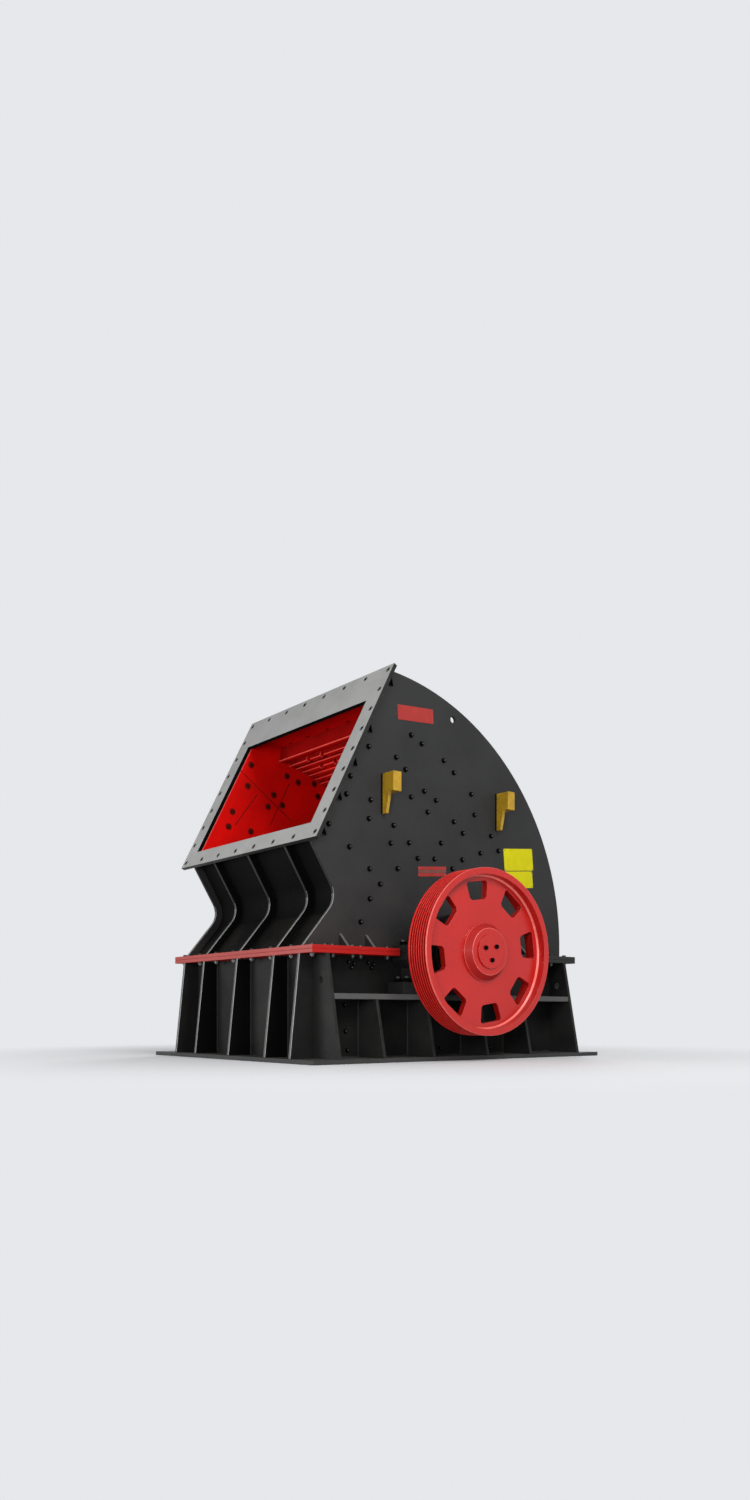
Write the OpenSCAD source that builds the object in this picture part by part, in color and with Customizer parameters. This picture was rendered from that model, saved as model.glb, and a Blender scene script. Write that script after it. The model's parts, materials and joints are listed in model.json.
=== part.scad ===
// Hammer crusher: a welded plate housing in two halves around one belt-driven rotor.
// The frame has +X towards the drive sheave, -Y towards the feed opening and +Z up.
// The origin is the centre of the underside of the base frame. All sizes are in millimetres.

/* [Housing] */
// Outer half width over the two side walls
wall_x = 875; // [800:5:950]
// Thickness of the housing plates
plate_t = 25; // [16:1:32]
// Thickness of the stiffening ribs
rib_t = 25; // [16:1:32]
// Thickness of each joint flange
joint_t = 28; // [20:1:36]
// Half width over the joint flanges
joint_x = 1032; // [1000:2:1080]
// Half length over the joint flanges
joint_y = 1340; // [1320:5:1380]

/* [Base and lower frame] */
// Thickness of the base frame's plate
base_t = 30; // [20:1:40]
// Half width of the base frame
base_x = 1190; // [1150:5:1240]
// Half length of the base frame
base_y = 1440; // [1400:5:1500]
// How far the legs splay out at the foot, front and back
leg_splay = 80; // [40:5:120]
// Half length over the lower front and rear plates
lower_y = 1220; // [1180:5:1250]
// How far the flared corner plates reach out at the foot
flare_x = 306; // [260:2:312]
// Height of the shaft over the side shelves
bearing_h = 310; // [280:5:340]
// Thickness of the side shelves
shelf_t = 40; // [25:1:50]
// Width of the side shelves
shelf_w = 212; // [190:2:230]
// Distance from the shaft to the inner pair of shelf stiffeners
stiff_inner = 270; // [220:5:320]
// Distance from the shaft to the outer pair of shelf stiffeners
stiff_outer = 736; // [640:4:860]
// Pitch of the front and rear ribs
rib_pitch = 528; // [480:4:560]

/* [Upper housing] */
// Height of the throat, where the front wall is furthest back
throat_z = 1186; // [1150:1:1230]
// Place of the throat's rib edge along Y
throat_y = -1015; // [-1060:1:-980]
// Place of the upper ribs' foot along Y
toe_y = -1316; // [-1335:1:-1290]
// Radius of the rib edge at the throat
throat_r = 150; // [80:5:200]
// Depth of the upper front ribs
upper_rib_d = 58; // [45:1:65]
// Radius of the curved back over the side walls
back_r = 2010; // [1900:5:2200]
// Place of the curved back's foot on the joint flange along Y
back_foot_y = 1318; // [1300:1:1332]
// How far the curved shell lies inside the side walls' edge
shell_inset = 160; // [130:5:190]
// Thickness of the curved shell
shell_t = 22; // [16:1:30]
// Diameter of the lifting holes in the side walls
eye_d = 50; // [40:1:60]

/* [Feed opening] */
// Angle of the feed flange away from upright
feed_tilt = 27.3; // [25:0.1:29]
// How far the feed flange reaches down past the front ribs
feed_overhang = 24; // [0:1:30]
// Place of the feed flange's lower front edge along Y
feed_y = -1292; // [-1310:1:-1270]
// Height of the feed flange's lower front edge
feed_z = 1580; // [1560:1:1600]
// Height of the feed flange along its slope
feed_l = 1510; // [1480:2:1540]
// Half width of the feed flange
feed_x = 1011; // [990:1:1030]
// Thickness of the feed flange
feed_t = 30; // [20:1:36]
// Height of the bar under the feed opening
feed_sill = 140; // [134:1:160]
// Height of the plate over the feed opening
feed_head = 295; // [270:5:340]
// Diameter of the feed flange's bolt holes
feed_hole_d = 26; // [20:1:33]
// Distance from the flange's edges to its bolt holes
feed_hole_edge = 46; // [40:1:50]
// Number of bolt holes across the flange
feed_holes_x = 8; // [6:1:10]
// Number of bolt holes up the flange
feed_holes_z = 9; // [7:1:11]

/* [Rotor] */
// Place of the shaft along Y
shaft_y = -80; // [-90:5:-70]
// Diameter over the hammer tips
rotor_d = 1320; // [1240:10:1340]
// Diameter of the rotor discs
disc_d = 960; // [900:10:1000]
// Number of rotor discs
disc_n = 9; // [7:1:11]
// Thickness of each rotor disc
disc_t = 40; // [30:1:50]
// Diameter of the shaft between the bearings
shaft_d = 240; // [220:2:260]
// Diameter of the shaft in the bearings and the sheave
journal_d = 200; // [180:2:210]
// Diameter of the circle of hammer pins
pin_pcd = 780; // [740:5:800]
// Diameter of the hammer pins
pin_d = 60; // [50:1:70]
// Number of hammer pins
pin_n = 6; // [4:1:6]
// Width of a hammer's head
hammer_w = 150; // [120:5:170]
// Thickness of a hammer along the shaft
hammer_t = 90; // [70:2:100]

/* [Sheave] */
// Outer diameter of the sheave
sheave_d = 1226; // [1150:2:1260]
// Width of the sheave's rim
sheave_w = 200; // [180:2:220]
// Distance from the middle of the machine to the sheave's outer face
sheave_x = 1484; // [1470:2:1520]
// Number of belt grooves
groove_n = 7; // [5:1:8]
// Depth of each belt groove
groove_d = 20; // [14:1:24]
// Radial thickness of the rim, from the groove crests
rim_t = 47; // [40:1:60]
// Thickness of the web
web_t = 52; // [36:1:64]
// Distance from the rim's outer edge in to the web's face
web_inset = 68; // [40:1:80]
// Diameter of the hub where it leaves the web
hub_d = 422; // [390:2:460]
// Diameter of the hub's outer face
hub_face_d = 344; // [300:2:380]
// Number of windows in the web
window_n = 8; // [6:1:9]

/* [Hidden] */
$fn = 96;
arc_fn = 180;
// Running clearance on the radius of a pin or a shaft in its hole
fit_gap = 0.05;
// Clearance between curved faces that lie on each other
seat = 0.3;
inner_x = wall_x - plate_t;
// Running gap between the hammer tips and the grate, and the room under the grate
grate_gap = 30;
grate_under = 30;
grate_bar_h = 50;
// Height of the shaft, which is the joint between the lower and the upper housing
split_z = base_t + grate_under + grate_bar_h + grate_gap + rotor_d / 2;
lower_flange_z = split_z - joint_t;
upper_flange_z = split_z + joint_t;
flare_top_x = joint_x;
flare_foot_x = wall_x + flare_x;
tilt_s = sin(feed_tilt);
tilt_c = cos(feed_tilt);
// Depth behind the feed flange's front at which the housing's plates end
feed_back = feed_t + seat;

// A point of the feed flange in Y and Z: s runs up the slope and d runs into the housing
function feed_pt(s, d) = [feed_y + s * tilt_s + d * tilt_c, feed_z + s * tilt_c - d * tilt_s];
// Unit vector from p to q
function dir(p, q) = (q - p) / norm(q - p);
// The point p moved by d square to the line from p to q, to the left of it
function aside(p, q, d) = p + d * [-dir(p, q)[1], dir(p, q)[0]];
// The crossing of the line through a and b with the line through c and d
function cross2(u, v) = u[0] * v[1] - u[1] * v[0];
function meet(a, b, c, d) = a + (b - a) * cross2(c - a, d - c) / cross2(b - a, d - c);
// Points of a round of radius r at corner q between the points p and s
function round_pts(p, q, s, r, n = 8) =
    let (u = dir(q, p), v = dir(q, s), half = acos(u * v) / 2, mid = dir([0, 0], u + v))
    let (c = q + mid * r / sin(half), reach = r / tan(half))
    let (a0 = q + u * reach - c, a1 = q + v * reach - c, sweep = 180 - 2 * half)
    let (turn = sign(cross2(a0, a1)))
    [for (i = [0:n]) let (a = turn * sweep * i / n) c + [a0[0] * cos(a) - a0[1] * sin(a),
        a0[0] * sin(a) + a0[1] * cos(a)]];

// The front rib edge: foot on the joint flange, throat, and head behind the feed flange
toe_p = [toe_y, upper_flange_z];
throat_p = [throat_y, throat_z];
brow_p = feed_pt(feed_overhang, feed_back);
// The same three corners for a line that lies d behind the rib edge
function front_throat(d) = meet(aside(toe_p, throat_p, -d), aside(throat_p, toe_p, d),
    aside(throat_p, brow_p, -d), aside(brow_p, throat_p, d));
function front_toe(d) = meet(aside(toe_p, throat_p, -d), aside(throat_p, toe_p, d),
    toe_p, toe_p + [1, 0]);
function front_brow(d) = meet(aside(throat_p, brow_p, -d), aside(brow_p, throat_p, d),
    feed_pt(0, feed_back), feed_pt(1, feed_back));
function front_line(d) = concat([front_toe(d)],
    round_pts(front_toe(d), front_throat(d), front_brow(d), throat_r + d), [front_brow(d)]);
function reversed(list) = [for (i = [len(list) - 1:-1:0]) list[i]];

// The curved back runs from its foot on the joint flange to a point just over the feed flange
back_over = 15;
back_foot = [back_foot_y, upper_flange_z];
back_top = feed_pt(feed_l + back_over, feed_back);
// Centre of the circle of radius r through p and q, on the left of the way from p to q
function arc_centre(p, q, r) = aside((p + q) / 2, q, sqrt(r * r - (q - p) * (q - p) / 4));
back_c = arc_centre(back_foot, back_top, back_r);
// Place along Y of the circle of radius r about the curved back's centre, at the height z
function back_at(r, z) = back_c[0] + sqrt(r * r - (z - back_c[1]) * (z - back_c[1]));
// The point at the radius r about the curved back's centre, at the angle a from upright
function back_pt(r, a) = back_c + r * [sin(a), cos(a)];

// Extrudes a drawing in Y and Z along X, from x0 over the length l
module along_x(x0, l) {
    translate([x0, 0, 0]) rotate([90, 0, 90]) linear_extrude(l) children();
}
// Extrudes a drawing in X and Z along Y, from y0 over the length l
module along_y(y0, l) {
    translate([0, y0 + l, 0]) rotate([90, 0, 0]) linear_extrude(l) children();
}
// Draws the children on the drive side and again, mirrored, on the far side
module both_sides() {
    children();
    mirror([1, 0, 0]) children();
}
// Draws the children at the front and again, mirrored, at the rear
module both_ends() {
    children();
    mirror([0, 1, 0]) children();
}
// Places the children in the feed flange's own frame: X across, Y into the housing, Z up the slope
module at_feed() {
    translate([0, feed_y, feed_z]) rotate([-feed_tilt, 0, 0]) children();
}
// A round bar along X about the shaft's line
module shaft_bar(x0, x1, d) {
    translate([x0, shaft_y, split_z]) rotate([0, 90, 0]) cylinder(h = x1 - x0, d = d);
}

// Base frame and lower housing
base_open_y = lower_y - plate_t;
anchor_d = 39;
anchor_edge = 65;
anchor_x = base_x - anchor_edge;
anchor_y1 = 980;
anchor_y2 = 500;
shaft_gap = 40;
neck_d = shaft_d + 2 * shaft_gap;
end_y = [-1, 1];

module base_frame() {
    color("#4a4a4a") difference() {
        translate([-base_x, -base_y, 0]) cube([2 * base_x, 2 * base_y, base_t]);
        translate([-inner_x, -base_open_y, -1]) cube([2 * inner_x, 2 * base_open_y, base_t + 2]);
        for (x = [-anchor_x, anchor_x], y = [-anchor_y1, -anchor_y2, anchor_y2, anchor_y1])
            translate([x, y, -1]) cylinder(h = base_t + 2, d = anchor_d);
    }
}
module lower_side_outline() {
    difference() {
        polygon([[-joint_y - leg_splay, base_t], [-joint_y, lower_flange_z],
            [joint_y, lower_flange_z], [joint_y + leg_splay, base_t]]);
        translate([shaft_y, split_z]) circle(d = neck_d);
    }
}
module lower_side_wall_right() {
    color("#2b2b2b") along_x(inner_x, plate_t) lower_side_outline();
}
module lower_side_wall_left() {
    color("#2b2b2b") along_x(-wall_x, plate_t) lower_side_outline();
}
module lower_front_wall() {
    color("#2b2b2b") translate([-inner_x, -lower_y, base_t])
        cube([2 * inner_x, plate_t, lower_flange_z - base_t]);
}
module lower_rear_wall() {
    color("#2b2b2b") translate([-inner_x, lower_y - plate_t, base_t])
        cube([2 * inner_x, plate_t, lower_flange_z - base_t]);
}
module lower_end_ribs() {
    for (x = [-rib_pitch, 0, rib_pitch]) along_x(x - rib_t / 2, rib_t)
        polygon([[-joint_y - leg_splay, base_t], [-joint_y, lower_flange_z],
            [-lower_y, lower_flange_z], [-lower_y, base_t]]);
}
module lower_front_ribs() {
    color("#202020") lower_end_ribs();
}
module lower_rear_ribs() {
    color("#202020") mirror([0, 1, 0]) lower_end_ribs();
}

// Flared corner plates, side shelves and their stiffeners
flare_hole_x = 960;
flare_hole_z = 584;
shelf_z = split_z - bearing_h;
module corner_plates() {
    color("#2f2f2f") both_sides() both_ends() along_y(-lower_y, plate_t) difference() {
        polygon([[wall_x, base_t], [flare_foot_x, base_t], [flare_top_x, lower_flange_z],
            [wall_x, lower_flange_z]]);
        translate([flare_hole_x, flare_hole_z]) circle(d = eye_d);
    }
}
module shelf(x0) {
    translate([x0, -base_open_y, shelf_z - shelf_t]) cube([shelf_w, 2 * base_open_y, shelf_t]);
}
module side_shelves() {
    color("#565656") both_sides() shelf(wall_x);
}
module shelf_stiffeners() {
    foot = shelf_z - shelf_t;
    color("#262626") both_sides()
        for (y = [-stiff_outer, -stiff_inner, stiff_inner, stiff_outer])
            along_y(shaft_y + y - rib_t / 2, rib_t)
                polygon([[wall_x, base_t], [flare_foot_x, base_t], [wall_x + shelf_w, foot],
                    [wall_x, foot]]);
}

// Joint flanges, open between the wear liners, with a pocket for each bearing block
liner_t = 18;
shell_r = back_r - shell_inset;
roof_r = shell_r - shell_t - liner_t;
front_lining = upper_rib_d + shell_t + liner_t;
joint_open_front = front_toe(front_lining)[0];
joint_open_rear = back_at(roof_r, upper_flange_z);
sole_y = 490;
block_y = 445;
pocket_gap = 35;
pocket_y = block_y + pocket_gap;
module joint_flange(z0, from_y, to_y) {
    difference() {
        translate([-joint_x, from_y, z0]) cube([2 * joint_x, to_y - from_y, joint_t]);
        translate([-inner_x, joint_open_front, z0 - 1])
            cube([2 * inner_x, joint_open_rear - joint_open_front, joint_t + 2]);
        both_sides() translate([wall_x, shaft_y - pocket_y, z0 - 1])
            cube([joint_x, 2 * pocket_y, joint_t + 2]);
        shaft_bar(-joint_x, joint_x, neck_d);
    }
}
module lower_front_flange() {
    color("#c8372f") joint_flange(lower_flange_z, -joint_y, shaft_y);
}
module lower_rear_flange() {
    color("#2b2b2b") joint_flange(lower_flange_z, shaft_y, joint_y);
}
module upper_front_flange() {
    color("#d9453c") joint_flange(split_z, -joint_y, shaft_y);
}
module upper_rear_flange() {
    color("#2b2b2b") joint_flange(split_z, shaft_y, joint_y);
}

// Upper side walls, with the throat in front and the curved back behind
eye_angle = 24.4;
eye_inset = 99;
module back_disc(r) {
    translate(back_c) circle(r = r, $fn = arc_fn);
}
// All of the Y and Z plane that lies behind the front line and above the joint flange
module behind_front(d) {
    far = back_c[0] + 2 * back_r;
    top = feed_pt(2 * feed_l, feed_back);
    polygon(concat(front_line(d), [top, [far, top[1]], [far, upper_flange_z]]));
}
module upper_side_outline() {
    difference() {
        intersection() {
            back_disc(back_r);
            behind_front(0);
        }
        translate([shaft_y, split_z]) circle(d = neck_d);
        translate(back_pt(back_r - eye_inset, eye_angle)) circle(d = eye_d);
    }
}
module upper_side_wall_right() {
    color("#3b3b3b") along_x(inner_x, plate_t) upper_side_outline();
}
module upper_side_wall_left() {
    color("#3b3b3b") along_x(-wall_x, plate_t) upper_side_outline();
}
module upper_front_wall() {
    color("#1c1c1c") along_x(-inner_x, 2 * inner_x)
        polygon(concat(front_line(upper_rib_d), reversed(front_line(upper_rib_d + shell_t))));
}
module upper_front_ribs() {
    color("#1c1c1c") for (x = [-rib_pitch, 0, rib_pitch]) along_x(x - rib_t / 2, rib_t)
        polygon(concat(front_line(0), reversed(front_line(upper_rib_d))));
}

// Curved shell over the back, and the ribs that stiffen it between the side walls
module back_ring(r0, r1) {
    intersection() {
        difference() {
            back_disc(r1);
            back_disc(r0);
        }
        behind_front(upper_rib_d + shell_t);
    }
}
module back_shell() {
    color("#333333") along_x(-inner_x, 2 * inner_x) back_ring(shell_r - shell_t, shell_r);
}
module back_ribs() {
    color("#333333") for (x = [-rib_pitch, 0, rib_pitch])
        along_x(x - rib_t / 2, rib_t) back_ring(shell_r, back_r);
}

// Feed flange with its opening and bolt holes, and the gussets behind its sides
feed_hole_x = feed_x - feed_hole_edge;
feed_hole_l = feed_l - 2 * feed_hole_edge;
feed_open = feed_l - feed_sill - feed_head;
module feed_flange() {
    color("#9d9d9d") at_feed() difference() {
        translate([-feed_x, 0, 0]) cube([2 * feed_x, feed_t, feed_l]);
        translate([-inner_x, -1, feed_sill]) cube([2 * inner_x, feed_t + 2, feed_open]);
        for (i = [0:feed_holes_x - 1], z = [feed_hole_edge, feed_l - feed_hole_edge])
            translate([-feed_hole_x + 2 * feed_hole_x * i / (feed_holes_x - 1), -1, z])
                rotate([-90, 0, 0]) cylinder(h = feed_t + 2, d = feed_hole_d);
        for (i = [1:feed_holes_z - 2], x = [-feed_hole_x, feed_hole_x])
            translate([x, -1, feed_hole_edge + feed_hole_l * i / (feed_holes_z - 1)])
                rotate([-90, 0, 0]) cylinder(h = feed_t + 2, d = feed_hole_d);
    }
}
feed_gusset_first = 123;
feed_gusset_pitch = 300;
feed_gusset_end = 60;
feed_gusset_w = 100;
feed_gusset_d = 110;
feed_gusset_t = 16;
module feed_gussets() {
    heights = concat([for (i = [0:3]) feed_gusset_first + feed_gusset_pitch * i],
        [feed_l - feed_gusset_end]);
    color("#2b2b2b") both_sides() at_feed() for (s = heights)
        translate([wall_x, feed_back, s - feed_gusset_t / 2]) linear_extrude(feed_gusset_t)
            polygon([[0, 0], [feed_gusset_w, 0], [0, feed_gusset_d]]);
}

// Gussets between the side walls and the upper joint flange
joint_gusset_w = 105;
joint_gusset_h = 100;
joint_gusset_y = [673, 908];
module joint_gussets() {
    color("#333333") both_sides() for (y = joint_gusset_y, side = end_y)
        along_y(shaft_y + side * y - rib_t / 2, rib_t)
            polygon([[wall_x, upper_flange_z], [wall_x + joint_gusset_w, upper_flange_z],
                [wall_x, upper_flange_z + joint_gusset_h]]);
}

// Wear liners inside the housing
side_liner_x = inner_x - liner_t;
// Everything inside the housing, a gap away from its plates
module inside_outline(gap) {
    intersection() {
        back_disc(shell_r - shell_t - gap);
        behind_front(upper_rib_d + shell_t + gap);
    }
}
module side_liner_outline() {
    difference() {
        inside_outline(liner_t);
        translate([shaft_y, split_z]) circle(d = neck_d);
    }
}
module side_liner_right() {
    color("#b00000") along_x(side_liner_x, liner_t) side_liner_outline();
}
module side_liner_left() {
    color("#b00000") along_x(-inner_x, liner_t) side_liner_outline();
}
module front_liner() {
    d = upper_rib_d + shell_t;
    color("#a00000") along_x(-inner_x, 2 * inner_x)
        polygon(concat(front_line(d), reversed(front_line(d + liner_t))));
}
module roof_liner() {
    color("#a00000") along_x(-inner_x, 2 * inner_x) intersection() {
        difference() {
            back_disc(shell_r - shell_t - seat);
            back_disc(roof_r);
        }
        behind_front(front_lining);
    }
}

// Stepped impact plate that hangs behind the feed opening
impact_gap = 60;
impact_t = 30;
impact_r = roof_r - impact_gap - impact_t;
impact_angle_from = 9;
impact_angle_to = 69;
impact_angle_first = 3.3;
impact_angle_step = 2.4;
impact_angle_gap = 0.3;
impact_angle_lip = 1.3;
impact_bar_t = 45;
impact_beam_t = 25;
impact_beam_drop = 42;
impact_notch_w = 55;
impact_notch_x = [324, 530];
cheek_t = 30;
module back_sector(r0, r1, a0, a1) {
    steps = 12;
    intersection() {
        difference() {
            back_disc(r1);
            back_disc(r0);
        }
        polygon(concat([back_pt(0, 0)],
            [for (i = [0:steps]) back_pt(1.1 * r1, a0 + (a1 - a0) * i / steps)]));
    }
}
// Section of the beam across the front of the impact plate, which hangs a lip below it
module impact_beam() {
    foot = back_pt(impact_r - impact_beam_drop, impact_angle_from);
    head = back_pt(roof_r - seat, impact_angle_from);
    intersection() {
        polygon([foot, head, aside(head, foot, impact_beam_t), aside(foot, head, -impact_beam_t)]);
        back_disc(roof_r - seat);
    }
}
module impact_frame() {
    color("#8a1010") {
        along_x(-side_liner_x, 2 * side_liner_x)
            back_sector(impact_r, impact_r + impact_t, impact_angle_from, impact_angle_to);
        for (x = [-rib_pitch, 0, rib_pitch]) along_x(x - cheek_t / 2, cheek_t)
            back_sector(impact_r + impact_t, roof_r - seat, impact_angle_from, impact_angle_to);
        along_x(-side_liner_x, 2 * side_liner_x) impact_beam();
    }
}
// Section of one stepped bar that begins at the angle a: a lip, and a slope to the next bar
module impact_bar(a) {
    end = a + impact_angle_step - 2 * impact_angle_gap;
    intersection() {
        back_disc(impact_r - seat);
        polygon([back_pt(impact_r + impact_t, a), back_pt(impact_r - impact_bar_t, a),
            back_pt(impact_r - impact_bar_t, a + impact_angle_lip),
            back_pt(impact_r - impact_bar_t / 3, end), back_pt(impact_r + impact_t, end)]);
    }
}
// Every second bar has notches for the bolts that hold the plate
module impact_notches() {
    for (x = impact_notch_x) both_sides() translate([x - impact_notch_w / 2, -back_r, 0])
        cube([impact_notch_w, 2 * back_r, 2 * back_r]);
}
module impact_bars() {
    bar_from = impact_angle_from + impact_angle_first;
    bar_to = impact_angle_to - impact_angle_step;
    color("#b32020") for (a = [bar_from:2 * impact_angle_step:bar_to]) {
        difference() {
            along_x(-side_liner_x, 2 * side_liner_x) impact_bar(a + impact_angle_gap);
            impact_notches();
        }
        if (a + impact_angle_step <= bar_to) along_x(-side_liner_x, 2 * side_liner_x)
            impact_bar(a + impact_angle_step + impact_angle_gap);
    }
}

// Grate under the rotor: two curved rails on the side walls carry the bars
grate_r = rotor_d / 2 + grate_gap;
grate_bar_w = 40;
grate_angle_from = 100;
grate_angle_to = 260;
grate_angle_step = 8;
rail_t = 40;
rail_lip = 20;
rail_drop = 60;
module grate_rails() {
    color("#3a3a3a") both_sides() along_x(inner_x - rail_t, rail_t) intersection() {
        difference() {
            translate([shaft_y, split_z]) circle(r = grate_r + grate_bar_h, $fn = arc_fn);
            translate([shaft_y, split_z]) circle(r = grate_r - rail_lip, $fn = arc_fn);
        }
        translate([shaft_y - 2 * grate_r, base_t])
            square([4 * grate_r, lower_flange_z - base_t - rail_drop]);
    }
}
module grate_bars() {
    half = inner_x - rail_t - seat;
    color("#4a4a4a") for (a = [grate_angle_from:grate_angle_step:grate_angle_to])
        translate([0, shaft_y, split_z]) rotate([a, 0, 0])
            translate([-half, -grate_bar_w / 2, grate_r])
                cube([2 * half, grate_bar_w, grate_bar_h]);
}

// Lifting hooks on the side walls
hook_y = [-608, 566];
hook_z = 1833;
hook_h = 300;
hook_head_h = 145;
hook_reach = 138;
hook_neck = 85;
hook_foot = 50;
hook_w = 76;
module lifting_hooks() {
    color("#d9a51a") both_sides() for (y = hook_y) {
        along_y(y, rib_t) polygon([[wall_x, hook_z], [wall_x + hook_foot, hook_z],
            [wall_x + hook_neck, hook_z + hook_h - hook_head_h],
            [wall_x + hook_neck, hook_z + hook_h], [wall_x, hook_z + hook_h]]);
        along_y(y, hook_w) polygon([[wall_x, hook_z + hook_h - hook_head_h],
            [wall_x + hook_reach, hook_z + hook_h - hook_head_h],
            [wall_x + hook_reach, hook_z + hook_h], [wall_x, hook_z + hook_h]]);
    }
}

// Bearing blocks on the side shelves
block_gap = 15;
block_x0 = wall_x + block_gap;
block_x1 = wall_x + shelf_w;
sole_h = 90;
waist_y = 360;
cap_r = 300;
cap_foot = 56;
bearing_bore = journal_d + 2 * fit_gap;
module bearing_bore_cut() {
    shaft_bar(block_x0 - 1, block_x1 + 1, bearing_bore);
}
// Lower half of the block: a waist over the sole, and a flange under the cap
module block_outline() {
    polygon([[-waist_y, shelf_z + sole_h], [-waist_y, split_z - 2 * cap_foot],
        [-block_y, split_z - cap_foot], [-block_y, split_z], [block_y, split_z],
        [block_y, split_z - cap_foot], [waist_y, split_z - 2 * cap_foot],
        [waist_y, shelf_z + sole_h]]);
}
module bearing_blocks() {
    color("#1e1e1e") both_sides() difference() {
        union() {
            translate([block_x0, shaft_y - sole_y, shelf_z])
                cube([block_x1 - block_x0, 2 * sole_y, sole_h]);
            along_x(block_x0, block_x1 - block_x0) translate([shaft_y, 0]) block_outline();
        }
        bearing_bore_cut();
    }
}
module bearing_caps() {
    color("#242424") both_sides() difference() {
        along_x(block_x0, block_x1 - block_x0) intersection() {
            union() {
                translate([shaft_y, split_z]) circle(r = cap_r);
                translate([shaft_y - block_y, split_z]) square([2 * block_y, cap_foot]);
            }
            translate([shaft_y - block_y, split_z]) square([2 * block_y, 2 * cap_r]);
        }
        bearing_bore_cut();
    }
}

// Round covers on the outer faces of the bearing blocks
cover_d = 380;
cover_t = 20;
module bearing_covers() {
    color("#2a2a2a") both_sides() difference() {
        shaft_bar(block_x1, block_x1 + cover_t, cover_d);
        shaft_bar(block_x1 - 1, block_x1 + cover_t + 1, journal_d + 2 * seal_gap);
    }
}

// Seal rings on the side walls, where the shaft comes out
seal_d = 420;
seal_gap = 5;
seal_t = 12;
module shaft_seals() {
    color("#303030") both_sides() difference() {
        shaft_bar(wall_x, wall_x + seal_t, seal_d);
        shaft_bar(wall_x - 1, wall_x + seal_t + 1, shaft_d + 2 * seal_gap);
    }
}

// Rotor: stepped shaft, discs with spacers, hammer pins and hammers
rotor_side_gap = 12;
rotor_x = side_liner_x - rotor_side_gap;
journal_x = wall_x + 5;
shaft_stub = 60;
far_end_x = block_x1 + shaft_stub;
hub_inset = 4;
hub_x = sheave_x - hub_inset;
module rotor_shaft() {
    color("#8d8d8d") union() {
        shaft_bar(-journal_x, journal_x, shaft_d);
        shaft_bar(-far_end_x, hub_x, journal_d);
    }
}
disc_pitch = (2 * rotor_x - disc_t) / (disc_n - 1);
module rotor_discs() {
    color("#5c5c5c") for (i = [0:disc_n - 1]) difference() {
        shaft_bar(-rotor_x + i * disc_pitch, -rotor_x + i * disc_pitch + disc_t, disc_d);
        shaft_bar(-rotor_x - 1, rotor_x + 1, shaft_d + 2 * fit_gap);
        for (k = [0:pin_n - 1]) at_pin(k) translate([-rotor_x - 1, 0, 0]) rotate([0, 90, 0])
            cylinder(h = 2 * rotor_x + 2, d = pin_d + 2 * fit_gap);
    }
}
spacer_d = 340;
module rotor_spacers() {
    color("#707070") for (i = [0:disc_n - 2]) let (x = -rotor_x + i * disc_pitch + disc_t)
        difference() {
            shaft_bar(x, x + disc_pitch - disc_t, spacer_d);
            shaft_bar(x - 1, x + disc_pitch, shaft_d + 2 * fit_gap);
        }
}
module at_pin(i) {
    translate([0, shaft_y, split_z]) rotate([360 * i / pin_n, 0, 0])
        translate([0, 0, pin_pcd / 2]) children();
}
module hammer_pins() {
    color("#9a9a9a") for (i = [0:pin_n - 1]) at_pin(i)
        translate([-rotor_x, 0, 0]) rotate([0, 90, 0]) cylinder(h = 2 * rotor_x, d = pin_d);
}
// Hammer about its pin: an eye, a neck and a wider head whose tip follows the rotor's circle
hammer_eye_r = 62;
hammer_neck_w = 112;
hammer_neck_h = 90;
hammer_taper_h = 30;
module hammer() {
    reach = (rotor_d - pin_pcd) / 2;
    along_x(-hammer_t / 2, hammer_t) difference() {
        intersection() {
            union() {
                circle(r = hammer_eye_r);
                polygon([[-hammer_neck_w / 2, 0], [-hammer_neck_w / 2, hammer_neck_h],
                    [-hammer_w / 2, hammer_neck_h + hammer_taper_h], [-hammer_w / 2, 2 * reach],
                    [hammer_w / 2, 2 * reach], [hammer_w / 2, hammer_neck_h + hammer_taper_h],
                    [hammer_neck_w / 2, hammer_neck_h], [hammer_neck_w / 2, 0]]);
            }
            translate([0, -pin_pcd / 2]) circle(d = rotor_d, $fn = arc_fn);
        }
        circle(d = pin_d + 2 * fit_gap);
    }
}
module hammers() {
    color("#6f6f6f") for (i = [0:pin_n - 1], k = [0:disc_n - 2]) if ((i + k) % 2 == 0)
        at_pin(i) translate([-rotor_x + disc_t / 2 + (k + 0.5) * disc_pitch, 0, 0]) hammer();
}

// Grooved sheave with windows in its web, and the plate that holds it on the shaft
sheave_bore = journal_d + 2 * fit_gap;
rim_r = sheave_d / 2;
rim_land = 12;
groove_pitch = (sheave_w - 2 * rim_land) / groove_n;
groove_top_w = 0.8 * groove_pitch;
groove_foot_w = 0.32 * groove_pitch;
web_fillet = 12;
hub_collar = 17;
hub_back_d = 360;
hub_back_x = 12;
web_x1 = sheave_w - web_inset;
web_x0 = web_x1 - web_t;
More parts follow.
